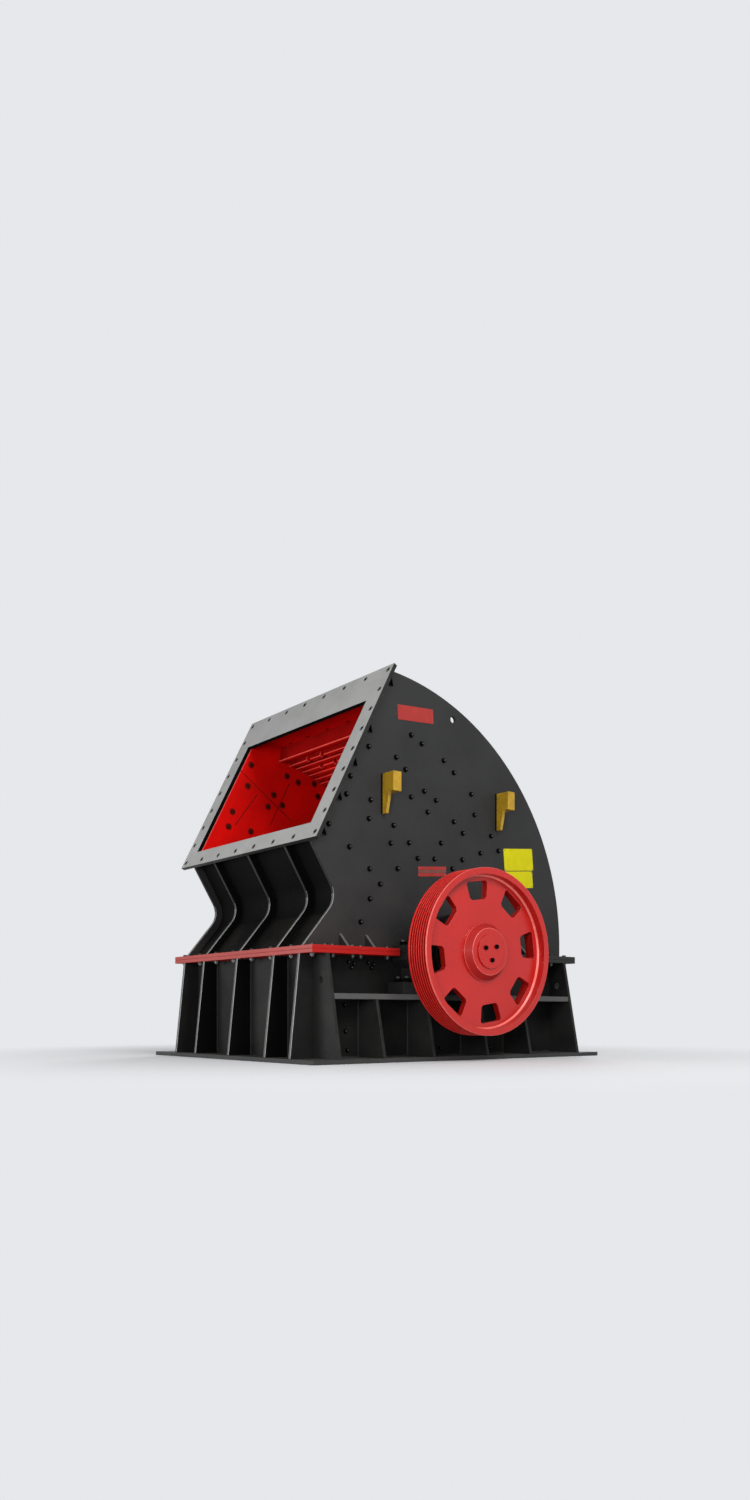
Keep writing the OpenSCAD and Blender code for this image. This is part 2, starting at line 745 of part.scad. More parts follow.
// Section of the sheave: the radius first, then the distance out from the rim's inner edge
module rim_section() {
    inner = rim_r - rim_t;
    difference() {
        polygon([[rim_r, 0], [rim_r, sheave_w], [inner, sheave_w], [inner, web_x1 + web_fillet],
            [inner - web_fillet, web_x1], [inner - web_fillet, web_x0], [inner, web_x0 - web_fillet],
            [inner, 0]]);
        for (i = [0:groove_n - 1]) let (x = rim_land + groove_pitch * (i + 0.5))
            polygon([[rim_r + 1, x - groove_top_w / 2], [rim_r - groove_d, x - groove_foot_w / 2],
                [rim_r - groove_d, x + groove_foot_w / 2], [rim_r + 1, x + groove_top_w / 2]]);
    }
}
module hub_section() {
    polygon([[sheave_bore / 2, hub_back_x], [hub_back_d / 2, hub_back_x], [hub_back_d / 2, web_x0],
        [rim_r - rim_t, web_x0], [rim_r - rim_t, web_x1], [hub_d / 2, web_x1],
        [hub_d / 2, web_x1 + hub_collar], [hub_face_d / 2, sheave_w - hub_inset],
        [sheave_bore / 2, sheave_w - hub_inset]]);
}
window_turn = 8;
window_r = 452;
window_h = 134;
window_w0 = 158;
window_w1 = 214;
window_round = 16;
// One window about the +X line: a trapezoid, wider outside, with its corners taken off
module sheave_window() {
    r0 = window_r - window_h / 2;
    r1 = window_r + window_h / 2;
    c = window_round;
    polygon([[r0 + c, -window_w0 / 2 - c / 4], [r1 - c, -window_w1 / 2 + c / 4],
        [r1, -window_w1 / 2 + c], [r1, window_w1 / 2 - c], [r1 - c, window_w1 / 2 - c / 4],
        [r0 + c, window_w0 / 2 + c / 4], [r0, window_w0 / 2 - c], [r0, -window_w0 / 2 + c]]);
}
module sheave() {
    color("#c8322c") translate([sheave_x - sheave_w, shaft_y, split_z]) difference() {
        rotate([0, 90, 0]) rotate_extrude($fn = arc_fn) union() {
            rim_section();
            hub_section();
        }
        rotate([90, 0, 90]) for (i = [0:window_n - 1]) rotate(360 * i / window_n + window_turn)
            linear_extrude(sheave_w) sheave_window();
    }
}
end_plate_d = 250;
end_plate_t = 12;
module shaft_end_plate() {
    color("#d0453c") shaft_bar(hub_x, hub_x + end_plate_t, end_plate_d);
}

base_frame();
lower_side_wall_right();
lower_side_wall_left();
lower_front_wall();
lower_rear_wall();
lower_front_ribs();
lower_rear_ribs();
corner_plates();
side_shelves();
shelf_stiffeners();
lower_front_flange();
lower_rear_flange();
upper_front_flange();
upper_rear_flange();
upper_side_wall_right();
upper_side_wall_left();
upper_front_wall();
upper_front_ribs();
back_shell();
back_ribs();
feed_flange();
feed_gussets();
joint_gussets();
side_liner_right();
side_liner_left();
front_liner();
roof_liner();
impact_frame();
impact_bars();
grate_rails();
grate_bars();
lifting_hooks();
bearing_blocks();
bearing_caps();
bearing_covers();
shaft_seals();
rotor_shaft();
rotor_discs();
rotor_spacers();
hammer_pins();
hammers();
sheave();
shaft_end_plate();
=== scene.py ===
"""Looks of a hammer crusher: eased plates, fasteners, liners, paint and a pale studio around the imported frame.

Sizes are in millimetres and are turned to metres where a mesh is made. The frame is +X to the sheave,
-Y to the feed opening and +Z up, with its origin under the middle of the base frame.
"""

import sys

import json
import logging
import math
from collections.abc import Callable, Iterator, Sequence
from contextlib import contextmanager
from dataclasses import dataclass
from enum import Enum
from functools import cache
from itertools import product
from typing import NamedTuple

import bmesh
import bpy
from bpy.types import ID, Material, Node, NodeSocket, NodeTree, Object
from mathutils import Matrix, Vector


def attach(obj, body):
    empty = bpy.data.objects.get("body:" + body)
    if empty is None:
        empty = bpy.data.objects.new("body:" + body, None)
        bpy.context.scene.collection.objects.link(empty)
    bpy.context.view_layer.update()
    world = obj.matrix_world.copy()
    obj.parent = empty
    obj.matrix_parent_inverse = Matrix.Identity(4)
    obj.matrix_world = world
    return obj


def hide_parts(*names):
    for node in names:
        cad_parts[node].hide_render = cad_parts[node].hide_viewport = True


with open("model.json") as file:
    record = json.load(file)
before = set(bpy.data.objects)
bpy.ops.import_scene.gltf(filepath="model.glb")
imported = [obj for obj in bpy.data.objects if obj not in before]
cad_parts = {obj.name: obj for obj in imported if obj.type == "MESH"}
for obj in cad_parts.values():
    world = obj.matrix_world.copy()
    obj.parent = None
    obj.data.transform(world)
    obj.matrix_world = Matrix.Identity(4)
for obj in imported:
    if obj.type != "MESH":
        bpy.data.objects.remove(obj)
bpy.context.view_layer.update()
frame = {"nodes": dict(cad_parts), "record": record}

LOG = logging.getLogger("crusher")
MM = 0.001
UP = Vector((0, 0, 1))
OUT = Vector((1, 0, 0))
REAR = Vector((0, 1, 0))
# Both ends or both sides of something, by their sign
ENDS = (-1, 1)
# The side walls' outer faces and the rotor's axis, in millimetres
WALL_X = 875.0
AXIS_Y = -80.0
AXIS_Z = 800.0
# A unit vector's part along an axis from which it counts as along it, up to which it counts as across it,
# and from which a face counts as one of a plate's broad sides
ALONG = 0.9
ACROSS = 0.1
BROAD = 0.7
# Faces narrower than this many millimetres are those of eased edges
NARROW = 6.0
# A copied node's corners closer than this are merged, in millimetres, its faces flatter than this are made one,
# and its edges sharper than this are eased, in degrees
DOUBLES = 0.02
FLAT = 0.3
SHARP = 38.0
# The least length in metres that a width is reckoned with
SHORTEST = 1e-6

# Says for the middle of a face or an edge and its normal or direction whether it is wanted
Test = Callable[[Vector, Vector], bool]
# A place on a side wall by its Y and Z, or on the flange by its X and its way up, in millimetres
Spot = tuple[float, float]
# A node's inputs by name or number, with their values or with what they are linked to
Settings = dict[str | int, object]
Links = dict[str | int, NodeSocket]
# A finish's colour, roughness and height of relief, and the relief's depth in millimetres
Drawn = tuple[NodeSocket, NodeSocket, NodeSocket, float]


class Face(NamedTuple):
    """A face of a piece: its middle and its width in millimetres, and its normal."""

    middle: Vector
    normal: Vector
    width: float


# Says which of a piece's finishes a face gets, by the finish's place in its list
FaceRule = Callable[[Face], int]


class Body(str, Enum):
    """The two bodies that the pieces ride on."""

    HOUSING = "housing"
    ROTOR = "rotor"


class Side(Enum):
    """The two side walls, by the sign of their X."""

    SHEAVE = 1
    FAR = -1


# Kinds of finish


def to_linear(colour: str) -> tuple[float, float, float, float]:
    """Turns a colour in sRGB hex to linear light.

    Args:
        colour: The colour, such as #c80502.

    Returns:
        Its linear red, green, blue and alpha.
    """
    parts = [int(colour[i : i + 2], 16) / 255 for i in (1, 3, 5)]
    linear = [p / 12.92 if p <= 0.04045 else ((p + 0.055) / 1.055) ** 2.4 for p in parts]
    return (linear[0], linear[1], linear[2], 1.0)


def add_node(
    tree: NodeTree,
    kind: str,
    settings: Settings | None = None,
    links: Links | None = None,
    out: str | int = 0,
    **choices: object,
) -> NodeSocket:
    """Adds a node with its settings and links.

    Args:
        tree: The node tree.
        kind: The node's type name, after ShaderNode.
        settings: Values for its inputs.
        links: What its inputs are linked to.
        out: The output that is wanted.
        choices: The node's own options.

    Returns:
        That output.
    """
    node = tree.nodes.new("ShaderNode" + kind)
    for name, value in choices.items():
        setattr(node, name, value)
    for key, value in (settings or {}).items():
        node.inputs[key].default_value = value
    for key, socket in (links or {}).items():
        tree.links.new(socket, node.inputs[key])
    return node.outputs[out]


def scale_of(size: float) -> float:
    """The scale of a pattern whose features have a size in millimetres."""
    return 1 / (size * MM)


@dataclass(frozen=True)
class Finish:
    """What the kinds of finish share: a name, a colour, and a second tone that it fades to in patches."""

    name: str
    colour: str
    patch: str

    def draw(self, tree: NodeTree, at: Links, shader: Node) -> Drawn:
        """What a kind of finish adds to the nodes, drawn at a place on the piece. The shader gets its plain values."""
        raise NotImplementedError

    @cache
    def make(self) -> Material:
        """Builds the finish on its first use.

        Returns:
            The material.
        """
        material = bpy.data.materials.new(self.name)
        material.use_nodes = True
        tree = material.node_tree
        shader = tree.nodes["Principled BSDF"]
        at: Links = {"Vector": add_node(tree, "TexCoord", out="Object")}
        tone, rough, height, depth = self.draw(tree, at, shader)
        relief = add_node(tree, "Bump", {"Strength": 1.0, "Distance": depth * MM}, {"Height": height})
        for name, socket in (("Base Color", tone), ("Roughness", rough), ("Normal", relief)):
            tree.links.new(socket, shader.inputs[name])
        return material


@dataclass(frozen=True)
class Enamel(Finish):
    """Sprayed machine enamel: a faint cloudiness from the spray passes, orange peel and settled dust."""

    dust: str = "#6b655c"
    cloud_size: float = 420.0
    fleck_size: float = 28.0
    peel_size: float = 9.0
    peel_depth: float = 0.10
    roughness: float = 0.42
    gloss: float = 0.25
    ledge_dust: float = 0.25
    foot_dust: float = 0.0
    foot_height: float = 260.0

    def draw(self, tree: NodeTree, at: Links, shader: Node) -> Drawn:
        """Draws the clouds, the settled dust, the sheen and the orange peel.

        Args:
            tree: The material's nodes.
            at: The place on the piece.
            shader: The shader, which gets the gloss.

        Returns:
            The finish's parts.
        """
        sizes = ((self.cloud_size, 4.0, 0.6), (self.fleck_size, 3.0, 0.55), (self.peel_size, 1.0, 0.4))
        clouds, flecks, peel = (
            add_node(tree, "TexNoise", {"Scale": scale_of(size), "Detail": fine, "Roughness": rough}, at, "Fac")
            for size, fine, rough in sizes
        )
        share = add_node(tree, "MapRange", {"From Min": 0.32, "From Max": 0.68}, {"Value": clouds})
        tones: Settings = {6: to_linear(self.colour), 7: to_linear(self.patch)}
        paint = add_node(tree, "Mix", tones, {0: share}, 2, data_type="RGBA")
        facing = add_node(tree, "NewGeometry", out="Normal")
        upward = add_node(tree, "SeparateXYZ", None, {"Vector": facing}, "Z")
        height = add_node(tree, "SeparateXYZ", None, at, "Z")
        # Dust lies on what looks up, and thins out with the height over the ground
        span = {"From Min": 0.55, "From Max": 1.0, "To Min": 0.0, "To Max": self.ledge_dust}
        ledge = add_node(tree, "MapRange", span, {"Value": upward})
        span = {"From Min": 0.0, "From Max": self.foot_height * MM, "To Min": self.foot_dust, "To Max": 0.0}
        foot = add_node(tree, "MapRange", span, {"Value": height})
        settled = add_node(tree, "Math", None, {0: ledge, 1: foot}, operation="MAXIMUM")
        patchy = add_node(tree, "Math", None, {0: settled, 1: share}, operation="MULTIPLY")
        dusted = add_node(tree, "Mix", {7: to_linear(self.dust)}, {0: patchy, 6: paint}, 2, data_type="RGBA")
        span = {"From Min": 0.3, "From Max": 0.7, "To Min": self.roughness - 0.05, "To Max": self.roughness + 0.08}
        sheen = add_node(tree, "MapRange", span, {"Value": flecks})
        shader.inputs["Specular IOR Level"].default_value = self.gloss
        return dusted, sheen, peel, self.peel_depth


class Grain(Enum):
    """How a bare metal surface was made."""

    TURNED = "turned"
    CAST = "cast"
    PLATED = "plated"


@dataclass(frozen=True)
class Metal(Finish):
    """Bare metal with the marks of how it was made, and a film of oil and dust in them."""

    grain: Grain
    grain_size: float
    relief: float
    roughness: float

    def draw(self, tree: NodeTree, at: Links, shader: Node) -> Drawn:
        """Draws the marks and the film.

        Args:
            tree: The material's nodes.
            at: The place on the piece.
            shader: The shader, which is made a metal's.

        Returns:
            The finish's parts.
        """
        scale = scale_of(self.grain_size)
        if self.grain is Grain.TURNED:
            settings = {"Scale": scale / 10, "Distortion": 1.2, "Detail": 2.0, "Detail Scale": 3.0}
            marks = add_node(tree, "TexWave", settings, at, "Fac", wave_type="BANDS", bands_direction="X")
        else:
            marks = add_node(tree, "TexNoise", {"Scale": scale, "Detail": 5.0, "Roughness": 0.62}, at, "Fac")
        stains = add_node(tree, "TexNoise", {"Scale": scale_of(self.grain_size * 9), "Detail": 4.0}, at, "Fac")
        span = {"From Min": 0.38, "From Max": 0.66, "To Min": 0.0, "To Max": 0.8}
        film = add_node(tree, "MapRange", span, {"Value": stains})
        tones: Settings = {6: to_linear(self.colour), 7: to_linear(self.patch)}
        tone = add_node(tree, "Mix", tones, {0: film}, 2, data_type="RGBA")
        span = {"From Min": 0.3, "From Max": 0.7, "To Min": self.roughness - 0.08, "To Max": self.roughness + 0.12}
        rough = add_node(tree, "MapRange", span, {"Value": stains})
        shader.inputs["Metallic"].default_value = 1.0
        return tone, rough, marks, self.relief


# The finishes of this machine

# Satin charcoal enamel on rolled plate: an even dark grey with soft wide clouds
DARK = Enamel("enamel_charcoal", "#222222", "#272727", dust="#3a3836", roughness=0.5, gloss=0.2)
# The same on the foot plate, under settled dust from the ground
FOOT = Enamel("enamel_charcoal_dusty", "#2d2e2f", "#3a3938", dust="#5a5650", gloss=0.15, ledge_dust=0.4)
# The same on the big side walls, with a breath of red earth on their lower half
WALL = Enamel(
    "enamel_charcoal_wall", "#212121", "#272727", dust="#4a3936", roughness=0.5, gloss=0.2,
    foot_dust=0.45, foot_height=1500,
)
# The same paint in black on the ribbed front, its black taken deeper as painted shade, and nearly without sheen
BLACK = Enamel("enamel_black", "#060606", "#0a0a0a", gloss=0.03, roughness=0.6)
# Black on the lower box, scuffed to a soft dark grey
SCUFFED = Enamel("enamel_black_scuffed", "#181818", "#282827", gloss=0.12, roughness=0.5)
# Black on the lower side walls under the shelves: darker than the lower box's black
LOW_WALL_BLACK = Enamel("enamel_black_low_walls", "#101010", "#1c1c1b", gloss=0.1, roughness=0.5)
# Cut edges in a lighter grey where they turn to the sky: a painted highlight
EDGE = Enamel("enamel_cut_edge_painted_highlight", "#4c4c4b", "#3e3e3d", gloss=0.3, cloud_size=90)
# The corners of those edges: a fine pale line of painted highlight
ARRIS = Enamel("enamel_corner_painted_highlight", "#949492", "#7c7c7a", gloss=0.4, cloud_size=60)
# The same edges where they look down or back: a dull dark grey of painted shade
EDGE_SHADE = Enamel("enamel_cut_edge_painted_shade", "#1e1e1d", "#282827", gloss=0.1, cloud_size=90)
# Ledges that get walked on and wiped: a mid grey, also a painted highlight on the joint gussets' cut edges
SHELF = Enamel("enamel_grey", "#454545", "#504f4e", roughness=0.5)
# Zinc phosphate primer on the flange that gets bolted to a chute: a matt light grey
PRIMER = Enamel("primer_light_grey", "#8d8d8c", "#838482", roughness=0.6, gloss=0.2, cloud_size=260)
# The same primer paler on the flange's narrow edges: a painted highlight round the flange
PRIMER_HIGHLIGHT = Enamel("primer_painted_highlight", "#c4c4c2", "#b2b2b0", roughness=0.5, gloss=0.3)
# Nearly black: painted shade in the drilled bores, in the flange's opening and in rings round its holes; and on the
# dark nuts and bolts, their own black taken deeper as painted shade
SHADE_BLACK = Enamel("black_painted_shade", "#040404", "#080807", roughness=0.8, gloss=0.03, cloud_size=30)
# Signal red enamel on the joint flanges and the sheave: glossy, with a sharp highlight
RED = Enamel(
    "enamel_signal_red", "#ac1a15", "#a41611", roughness=0.28, gloss=0.5, ledge_dust=0.15, peel_depth=0.01,
    fleck_size=300,
)
# The same red a shade darker and duller: the shaded copy on the joint flanges apart from their front, and painted shade
# on the sheave hub's cone
HALF_SHADE_RED = Enamel("enamel_red_half_shade", "#9c1410", "#90110d", roughness=0.5, gloss=0.2, ledge_dust=0.1)
# The red paler and pinker on the joint flanges' front: a painted highlight for the light the front catches
FRONT_HIGHLIGHT_RED = Enamel("enamel_red_front_painted_highlight", "#96342e", "#8c2d28", roughness=0.45, gloss=0.4)
# Red in the grooves and on the windows' sides, darker and duller as painted shade
DEEP_SHADE_RED = Enamel("enamel_red_painted_shade", "#90120e", "#7e0c09", roughness=0.45, gloss=0.08, cloud_size=60)
# Red on the lands between the grooves: a shade brighter than the face, as a painted highlight
LAND_HIGHLIGHT_RED = Enamel("enamel_red_lands_painted_highlight", "#c4221b", "#b81c16", roughness=0.4, gloss=0.25, cloud_size=60)
# Red paler on turned edges: a pale pink line of painted highlight where the light catches it
EDGE_HIGHLIGHT_RED = Enamel("enamel_red_edge_painted_highlight", "#de645c", "#cf524a", roughness=0.3, gloss=0.6, cloud_size=60)
# Red oxide primer on wear liners that are not yet worn: warm, matt and a little patchy
LINER = Enamel("primer_red", "#c80502", "#ae0402", roughness=0.7, gloss=0.06, cloud_size=300)
# The same primer darkened on the beam's face over the impact plate: painted shade like the shaded roof beside it
LINER_SHADE = Enamel("primer_red_painted_shade", "#8c0402", "#7a0302", roughness=0.7, gloss=0.06, cloud_size=200)
# The liners' cut and eased edges: a pinkish painted highlight
LINER_HIGHLIGHT = Enamel("primer_red_painted_highlight", "#de5046", "#c84038", roughness=0.55, gloss=0.2, cloud_size=60)
# Liner bolts under the primer: a brownish dark red, also laid in strips on the liner seams as painted shade
LINER_BOLT_AND_SEAM_SHADE = Enamel("primer_red_brown", "#740e08", "#5a0b07", roughness=0.7, gloss=0.05, cloud_size=25)
# Their heads, with more of the forging's scale: a blackish brown
LINER_HEAD = Enamel("primer_on_scale", "#3c0e09", "#2a0a07", roughness=0.7, gloss=0.05, cloud_size=25)
# Traffic yellow enamel on the lifting hooks
YELLOW = Enamel("enamel_yellow", "#ac871c", "#8a6a14", roughness=0.38, gloss=0.4, cloud_size=80)
# Printed yellow sheet, bare: a flat lemon with the sheet's own faint mottle
LEMON = Enamel("sheet_yellow", "#bdb60a", "#b0a908", roughness=0.45, gloss=0.15, cloud_size=80)
# Red printed sheets, bare, and the duller strip between two of them
SHEET_RED = Enamel("sheet_red", "#942a25", "#8a221d", roughness=0.4, gloss=0.3, cloud_size=80)
SHEET_DULL = Enamel("sheet_dull_red", "#6c4038", "#603830", roughness=0.4, gloss=0.3, cloud_size=80)
# Turned and greased shaft ends; the feed marks are drawn at 5 mm, as the real 1 mm would not show
TURNED = Metal("steel_turned", "#8a8b8c", "#5b5a57", Grain.TURNED, 5.0, 0.05, 0.34)
# Sand-cast manganese steel of the hammers and discs: dark, pitted, matt
CAST = Metal("manganese_steel_cast", "#4b4846", "#2f2b29", Grain.CAST, 9.0, 0.6, 0.62)
# Zinc-plated bolts gone dull: a mid grey with a fine crystal
ZINC = Metal("zinc_plate_dull", "#707271", "#4c4e4d", Grain.PLATED, 3.0, 0.03, 0.5)
# Black-oxide liner nuts: nearly black with an oily sheen
OXIDE = Enamel("black_oxide", "#0a0a0a", "#141312", roughness=0.4, gloss=0.35, cloud_size=40)
# The thread ends of the dark nuts: a dark steel grey, as a painted highlight on each nut's top
NUT_TOP_HIGHLIGHT = Enamel("nut_top_painted_highlight", "#484847", "#343433", roughness=0.4, gloss=0.3, cloud_size=20)

# The finish of each slot in the record
SLOT_COAT = {
    "dark_paint": DARK, "black_paint": BLACK, "shelf_paint": SHELF, "flange_paint": PRIMER, "red_paint": RED,
    "liner_paint": LINER, "yellow_paint": YELLOW, "bare_steel": TURNED, "cast_steel": CAST,
}


# Places and meshes


def mm(x: float, y: float, z: float) -> Vector:
    """A point given in millimetres, in metres."""
    return Vector((x, y, z)) * MM


def stand(point: Vector, aim: Vector, turn: float = 0.0) -> Matrix:
    """Where a copy goes whose own Z axis points along an aim.

    Args:
        point: The foot of the copy, in metres.
        aim: The direction of its Z axis.
        turn: Its turn about that axis, in degrees.

    Returns:
        The matrix that takes the master's mesh there.
    """
    facing = aim.to_track_quat("Z", "Y").to_matrix().to_4x4()
    return Matrix.Translation(point) @ facing @ Matrix.Rotation(math.radians(turn), 4, "Z")


def on_walls(x: float, spots: Sequence[Spot], inward: bool = False) -> list[Matrix]:
    """Where copies stand on both side walls, each turned by its place so that no two neighbours look alike.

    Args:
        x: The distance of the walls' faces from the middle, in millimetres.
        spots: The places on either wall.
        inward: Whether the copies point into the crusher.

    Returns:
        The matrices, the sheave's side first.
    """
    places = []
    for side in Side:
        out = Vector((side.value, 0, 0))
        places += [stand(mm(side.value * x, y, z), -out if inward else out, z if inward else y) for y, z in spots]
    return places


def round_axis(x: float, reach: float, angles: Sequence[float], side: Side) -> list[Matrix]:
    """Where copies stand in a circle round the rotor's axis, pointing away from the crusher.

    Args:
        x: The distance of their feet from the middle, in millimetres.
        reach: The circle's radius in millimetres.
        angles: Their angles from the Y axis, in degrees.
        side: The side that they are on.

    Returns:
        The matrices.
    """
    places = []
    for angle in angles:
        y, z = reach * math.cos(math.radians(angle)), reach * math.sin(math.radians(angle))
        places.append(stand(mm(side.value * x, AXIS_Y + y, AXIS_Z + z), Vector((side.value, 0, 0)), angle))
    return places


def alone(*pieces: Object) -> None:
    """Selects some objects and nothing else, and makes the first the active one.

    Args:
        pieces: The objects.
    """
    bpy.ops.object.select_all(action="DESELECT")
    for piece in pieces:
        piece.select_set(True)
    bpy.context.view_layer.objects.active = pieces[0]


def placed(name: str, data: ID) -> Object:
    """Puts a mesh, a lamp or a camera into the scene.

    Args:
        name: The object's name.
        data: What it shows.

    Returns:
        The object, at the origin.
    """
    thing = bpy.data.objects.new(name, data)
    bpy.context.scene.collection.objects.link(thing)
    return thing


def start(add: Callable[..., object], **settings: object) -> Object:
    """Adds a primitive with nothing else selected, and settles its place into its mesh.

    Args:
        add: The primitive's operator.
        settings: The operator's settings.

    Returns:
        The new object, at the origin and unturned.
    """
    bpy.ops.object.select_all(action="DESELECT")
    add(**settings)
    bpy.ops.object.transform_apply(location=True, rotation=True, scale=True)
    return bpy.context.active_object


def rod(radius: float, foot: float, length: float, sides: int) -> Object:
    """A plain cylinder along Z to be shaped further, from its foot's height up, in millimetres."""
    size = {"radius": radius * MM, "depth": length * MM, "location": mm(0, 0, foot + length / 2)}
    return start(bpy.ops.mesh.primitive_cylinder_add, vertices=sides, **size)


def slab(wide: float, deep: float, thick: float, foot: float = 0.0) -> Object:
    """A plain box along X and Y to be shaped further, from its foot's height up, in millimetres."""
    middle = mm(0, 0, foot + thick / 2)
    return start(bpy.ops.mesh.primitive_cube_add, size=1, scale=mm(wide, deep, thick), location=middle)


@contextmanager
def edit(piece: Object, by: str = "FACE") -> Iterator[None]:
    """Opens a piece in edit mode with nothing selected, and leaves edit mode at the end.

    Args:
        piece: The object to edit.
        by: What is selected in it, VERT, EDGE or FACE.
    """
    alone(piece)
    bpy.ops.object.mode_set(mode="EDIT")
    bpy.ops.mesh.select_mode(type=by)
    bpy.ops.mesh.select_all(action="DESELECT")
    yield
    bpy.ops.object.mode_set(mode="OBJECT")


def pick(piece: Object, test: Test, edges: bool = False) -> None:
    """Selects faces or edges of a piece in edit mode.

    Args:
        piece: The object in edit mode.
        test: Says for a face's middle and normal, or an edge's middle and direction, whether it is wanted.
        edges: Whether edges are selected.
    """
    bpy.ops.mesh.select_all(action="DESELECT")
    mesh = bmesh.from_edit_mesh(piece.data)
    for part in mesh.edges if edges else mesh.faces:
        corners = [vert.co for vert in part.verts]
        along = (corners[1] - corners[0]).normalized() if edges else part.normal
        if test(sum(corners, Vector()) / len(corners), along):
            part.select_set(True)
    bmesh.update_edit_mesh(piece.data)


def finish_with(piece: Object, kind: str, **settings: object) -> None:
    """Adds a modifier to a piece and applies it.

    Args:
        piece: The object.
        kind: The modifier's type.
        settings: The modifier's settings.
    """
    alone(piece)
    modifier = piece.modifiers.new(kind.title(), kind)
    for name, value in settings.items():
        setattr(modifier, name, value)
    bpy.ops.object.modifier_apply(modifier=modifier.name)


def smooth(piece: Object, angle: float = 35.0) -> None:
    """Smooths the shading of a piece's edges that are flatter than an angle in degrees."""
    alone(piece)
    bpy.ops.object.shade_smooth_by_angle(angle=math.radians(angle))


def top_eased(piece: Object, width: float, steps: int = 1) -> Object:
    """Eases the rim of a piece's top face.

    Args:
        piece: The object.
        width: How far the rim is taken back, in millimetres.
        steps: The number of faces across it.

    Returns:
        The same object.
    """
    with edit(piece):
        pick(piece, lambda middle, normal: normal.z > ALONG)
        bpy.ops.mesh.bevel(offset=width * MM, segments=steps, affect="EDGES")
    return piece


def coated(piece: Object, *coats: Finish) -> Object:
    """Gives a piece its finishes.

    Args:
        piece: The object.
        coats: The finishes, of which its faces have the first.

    Returns:
        The same object.
    """
    piece.data.materials.clear()
    for coat in coats:
        piece.data.materials.append(coat.make())
    return piece


def joined(parts: Sequence[Object], name: str) -> Object:
    """Joins objects into one piece, each with its own finishes.

    Args:
        parts: The objects to join.
        name: The piece's name.

    Returns:
        The joined piece, at the origin.
    """
    alone(*parts)
    bpy.ops.object.join()
    piece = bpy.context.active_object
    piece.name = name
    return piece


def copies(master: Object, places: Sequence[Matrix], name: str) -> Object:
    """Copies a master to each place, each copy with its own mesh, and joins them.

    Args:
        master: The object to copy, which is removed at the end.
        places: One matrix for each copy.
        name: The piece's name.

    Returns:
        The joined piece.
    """
    parts = []
    for place in places:
        mesh = master.data.copy()
        mesh.transform(place)
        parts.append(placed(name, mesh))
    bpy.data.objects.remove(master)
    return joined(parts, name)


def hand_over(piece: Object, slot: str, body: Body = Body.HOUSING) -> Object:
    """Gives a piece its body.

    Args:
        piece: The piece.
        slot: Its slot; not used.
        body: The body that it rides on.

    Returns:
        The same piece.
    """
    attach(piece, body.value)
    return piece


def dressed(
    node: str, ease: float, slot: str, coats: Sequence[Finish], rule: FaceRule | None = None, body: Body = Body.HOUSING
) -> Object:
    """A copy of a CAD node with its sharp edges eased, as a plate's are after grinding, and its finishes on.

    Args:
        node: The CAD node, which the copy stands for.
        ease: How far each edge is taken back, in millimetres.
        slot: Its slot in the record.
        coats: Its finishes.
        rule: Says which finish a face gets, or None for the first everywhere.
        body: The body that it rides on.

    Returns:
        The copy.
    """
    piece = placed(node + ".eased", frame["nodes"][node].data.copy())
    with edit(piece, "VERT"):
        bpy.ops.mesh.select_all(action="SELECT")
        bpy.ops.mesh.remove_doubles(threshold=DOUBLES * MM)
        bpy.ops.mesh.dissolve_limited(angle_limit=math.radians(FLAT))
    limit = {"limit_method": "ANGLE", "angle_limit": math.radians(SHARP), "use_clamp_overlap": True}
    finish_with(piece, "BEVEL", width=ease * MM, segments=2, **limit)
    smooth(piece)
    finish_with(piece, "WEIGHTED_NORMAL", keep_sharp=True)
    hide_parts(node)
    mesh = coated(piece, *coats).data
    for face in mesh.polygons:
        corners = [mesh.vertices[i].co for i in face.vertices]
        longest = max((a - b).length for a, b in zip(corners, corners[1:] + corners[:1]))
        width = face.area / max(longest, SHORTEST) / MM
        face.material_index = rule(Face(face.center / MM, face.normal, width)) if rule else 0
    return hand_over(piece, slot, body)


# Parts that are made once and copied


@dataclass(frozen=True)
class HexFastener:
    """A hexagon nut or bolt head on a washer, with the thread's end standing out of a nut."""

    across: float = 30.0
    height: float = 16.0
    washer: float = 38.0
    washer_t: float = 3.5
    chamfer: float = 2.0
    stud: float = 7.0
    stud_d: float = 20.0
    stud_chamfer: float = 2.0
    stud_sunk: float = 4.0
    washer_ease: float = 0.8

    def model(self, under: Finish, over: Finish, tip: Finish | None = None) -> Object:
        """Models one fastener with its foot at the origin and its axis along Z.

        Args:
            under: The washer's finish.
            over: The finish of the nut or head.
            tip: The finish of the thread's end, where it isn't the nut's.

        Returns:
            The master that is copied.
        """
        washer = coated(rod(self.washer / 2, 0, self.washer_t, 16), under)
        parts = [top_eased(washer, self.washer_ease)]
        head = coated(rod(self.across / 2 / math.cos(math.radians(30)), self.washer_t, self.height, 6), over)
        parts.append(top_eased(head, self.chamfer))
        if self.stud > 0:
            foot = self.washer_t + self.height - self.stud_sunk
            thread = coated(rod(self.stud_d / 2, foot, self.stud + self.stud_sunk, 10), tip or over)
            parts.append(top_eased(thread, self.stud_chamfer))
        return joined(parts, "fastener_master")


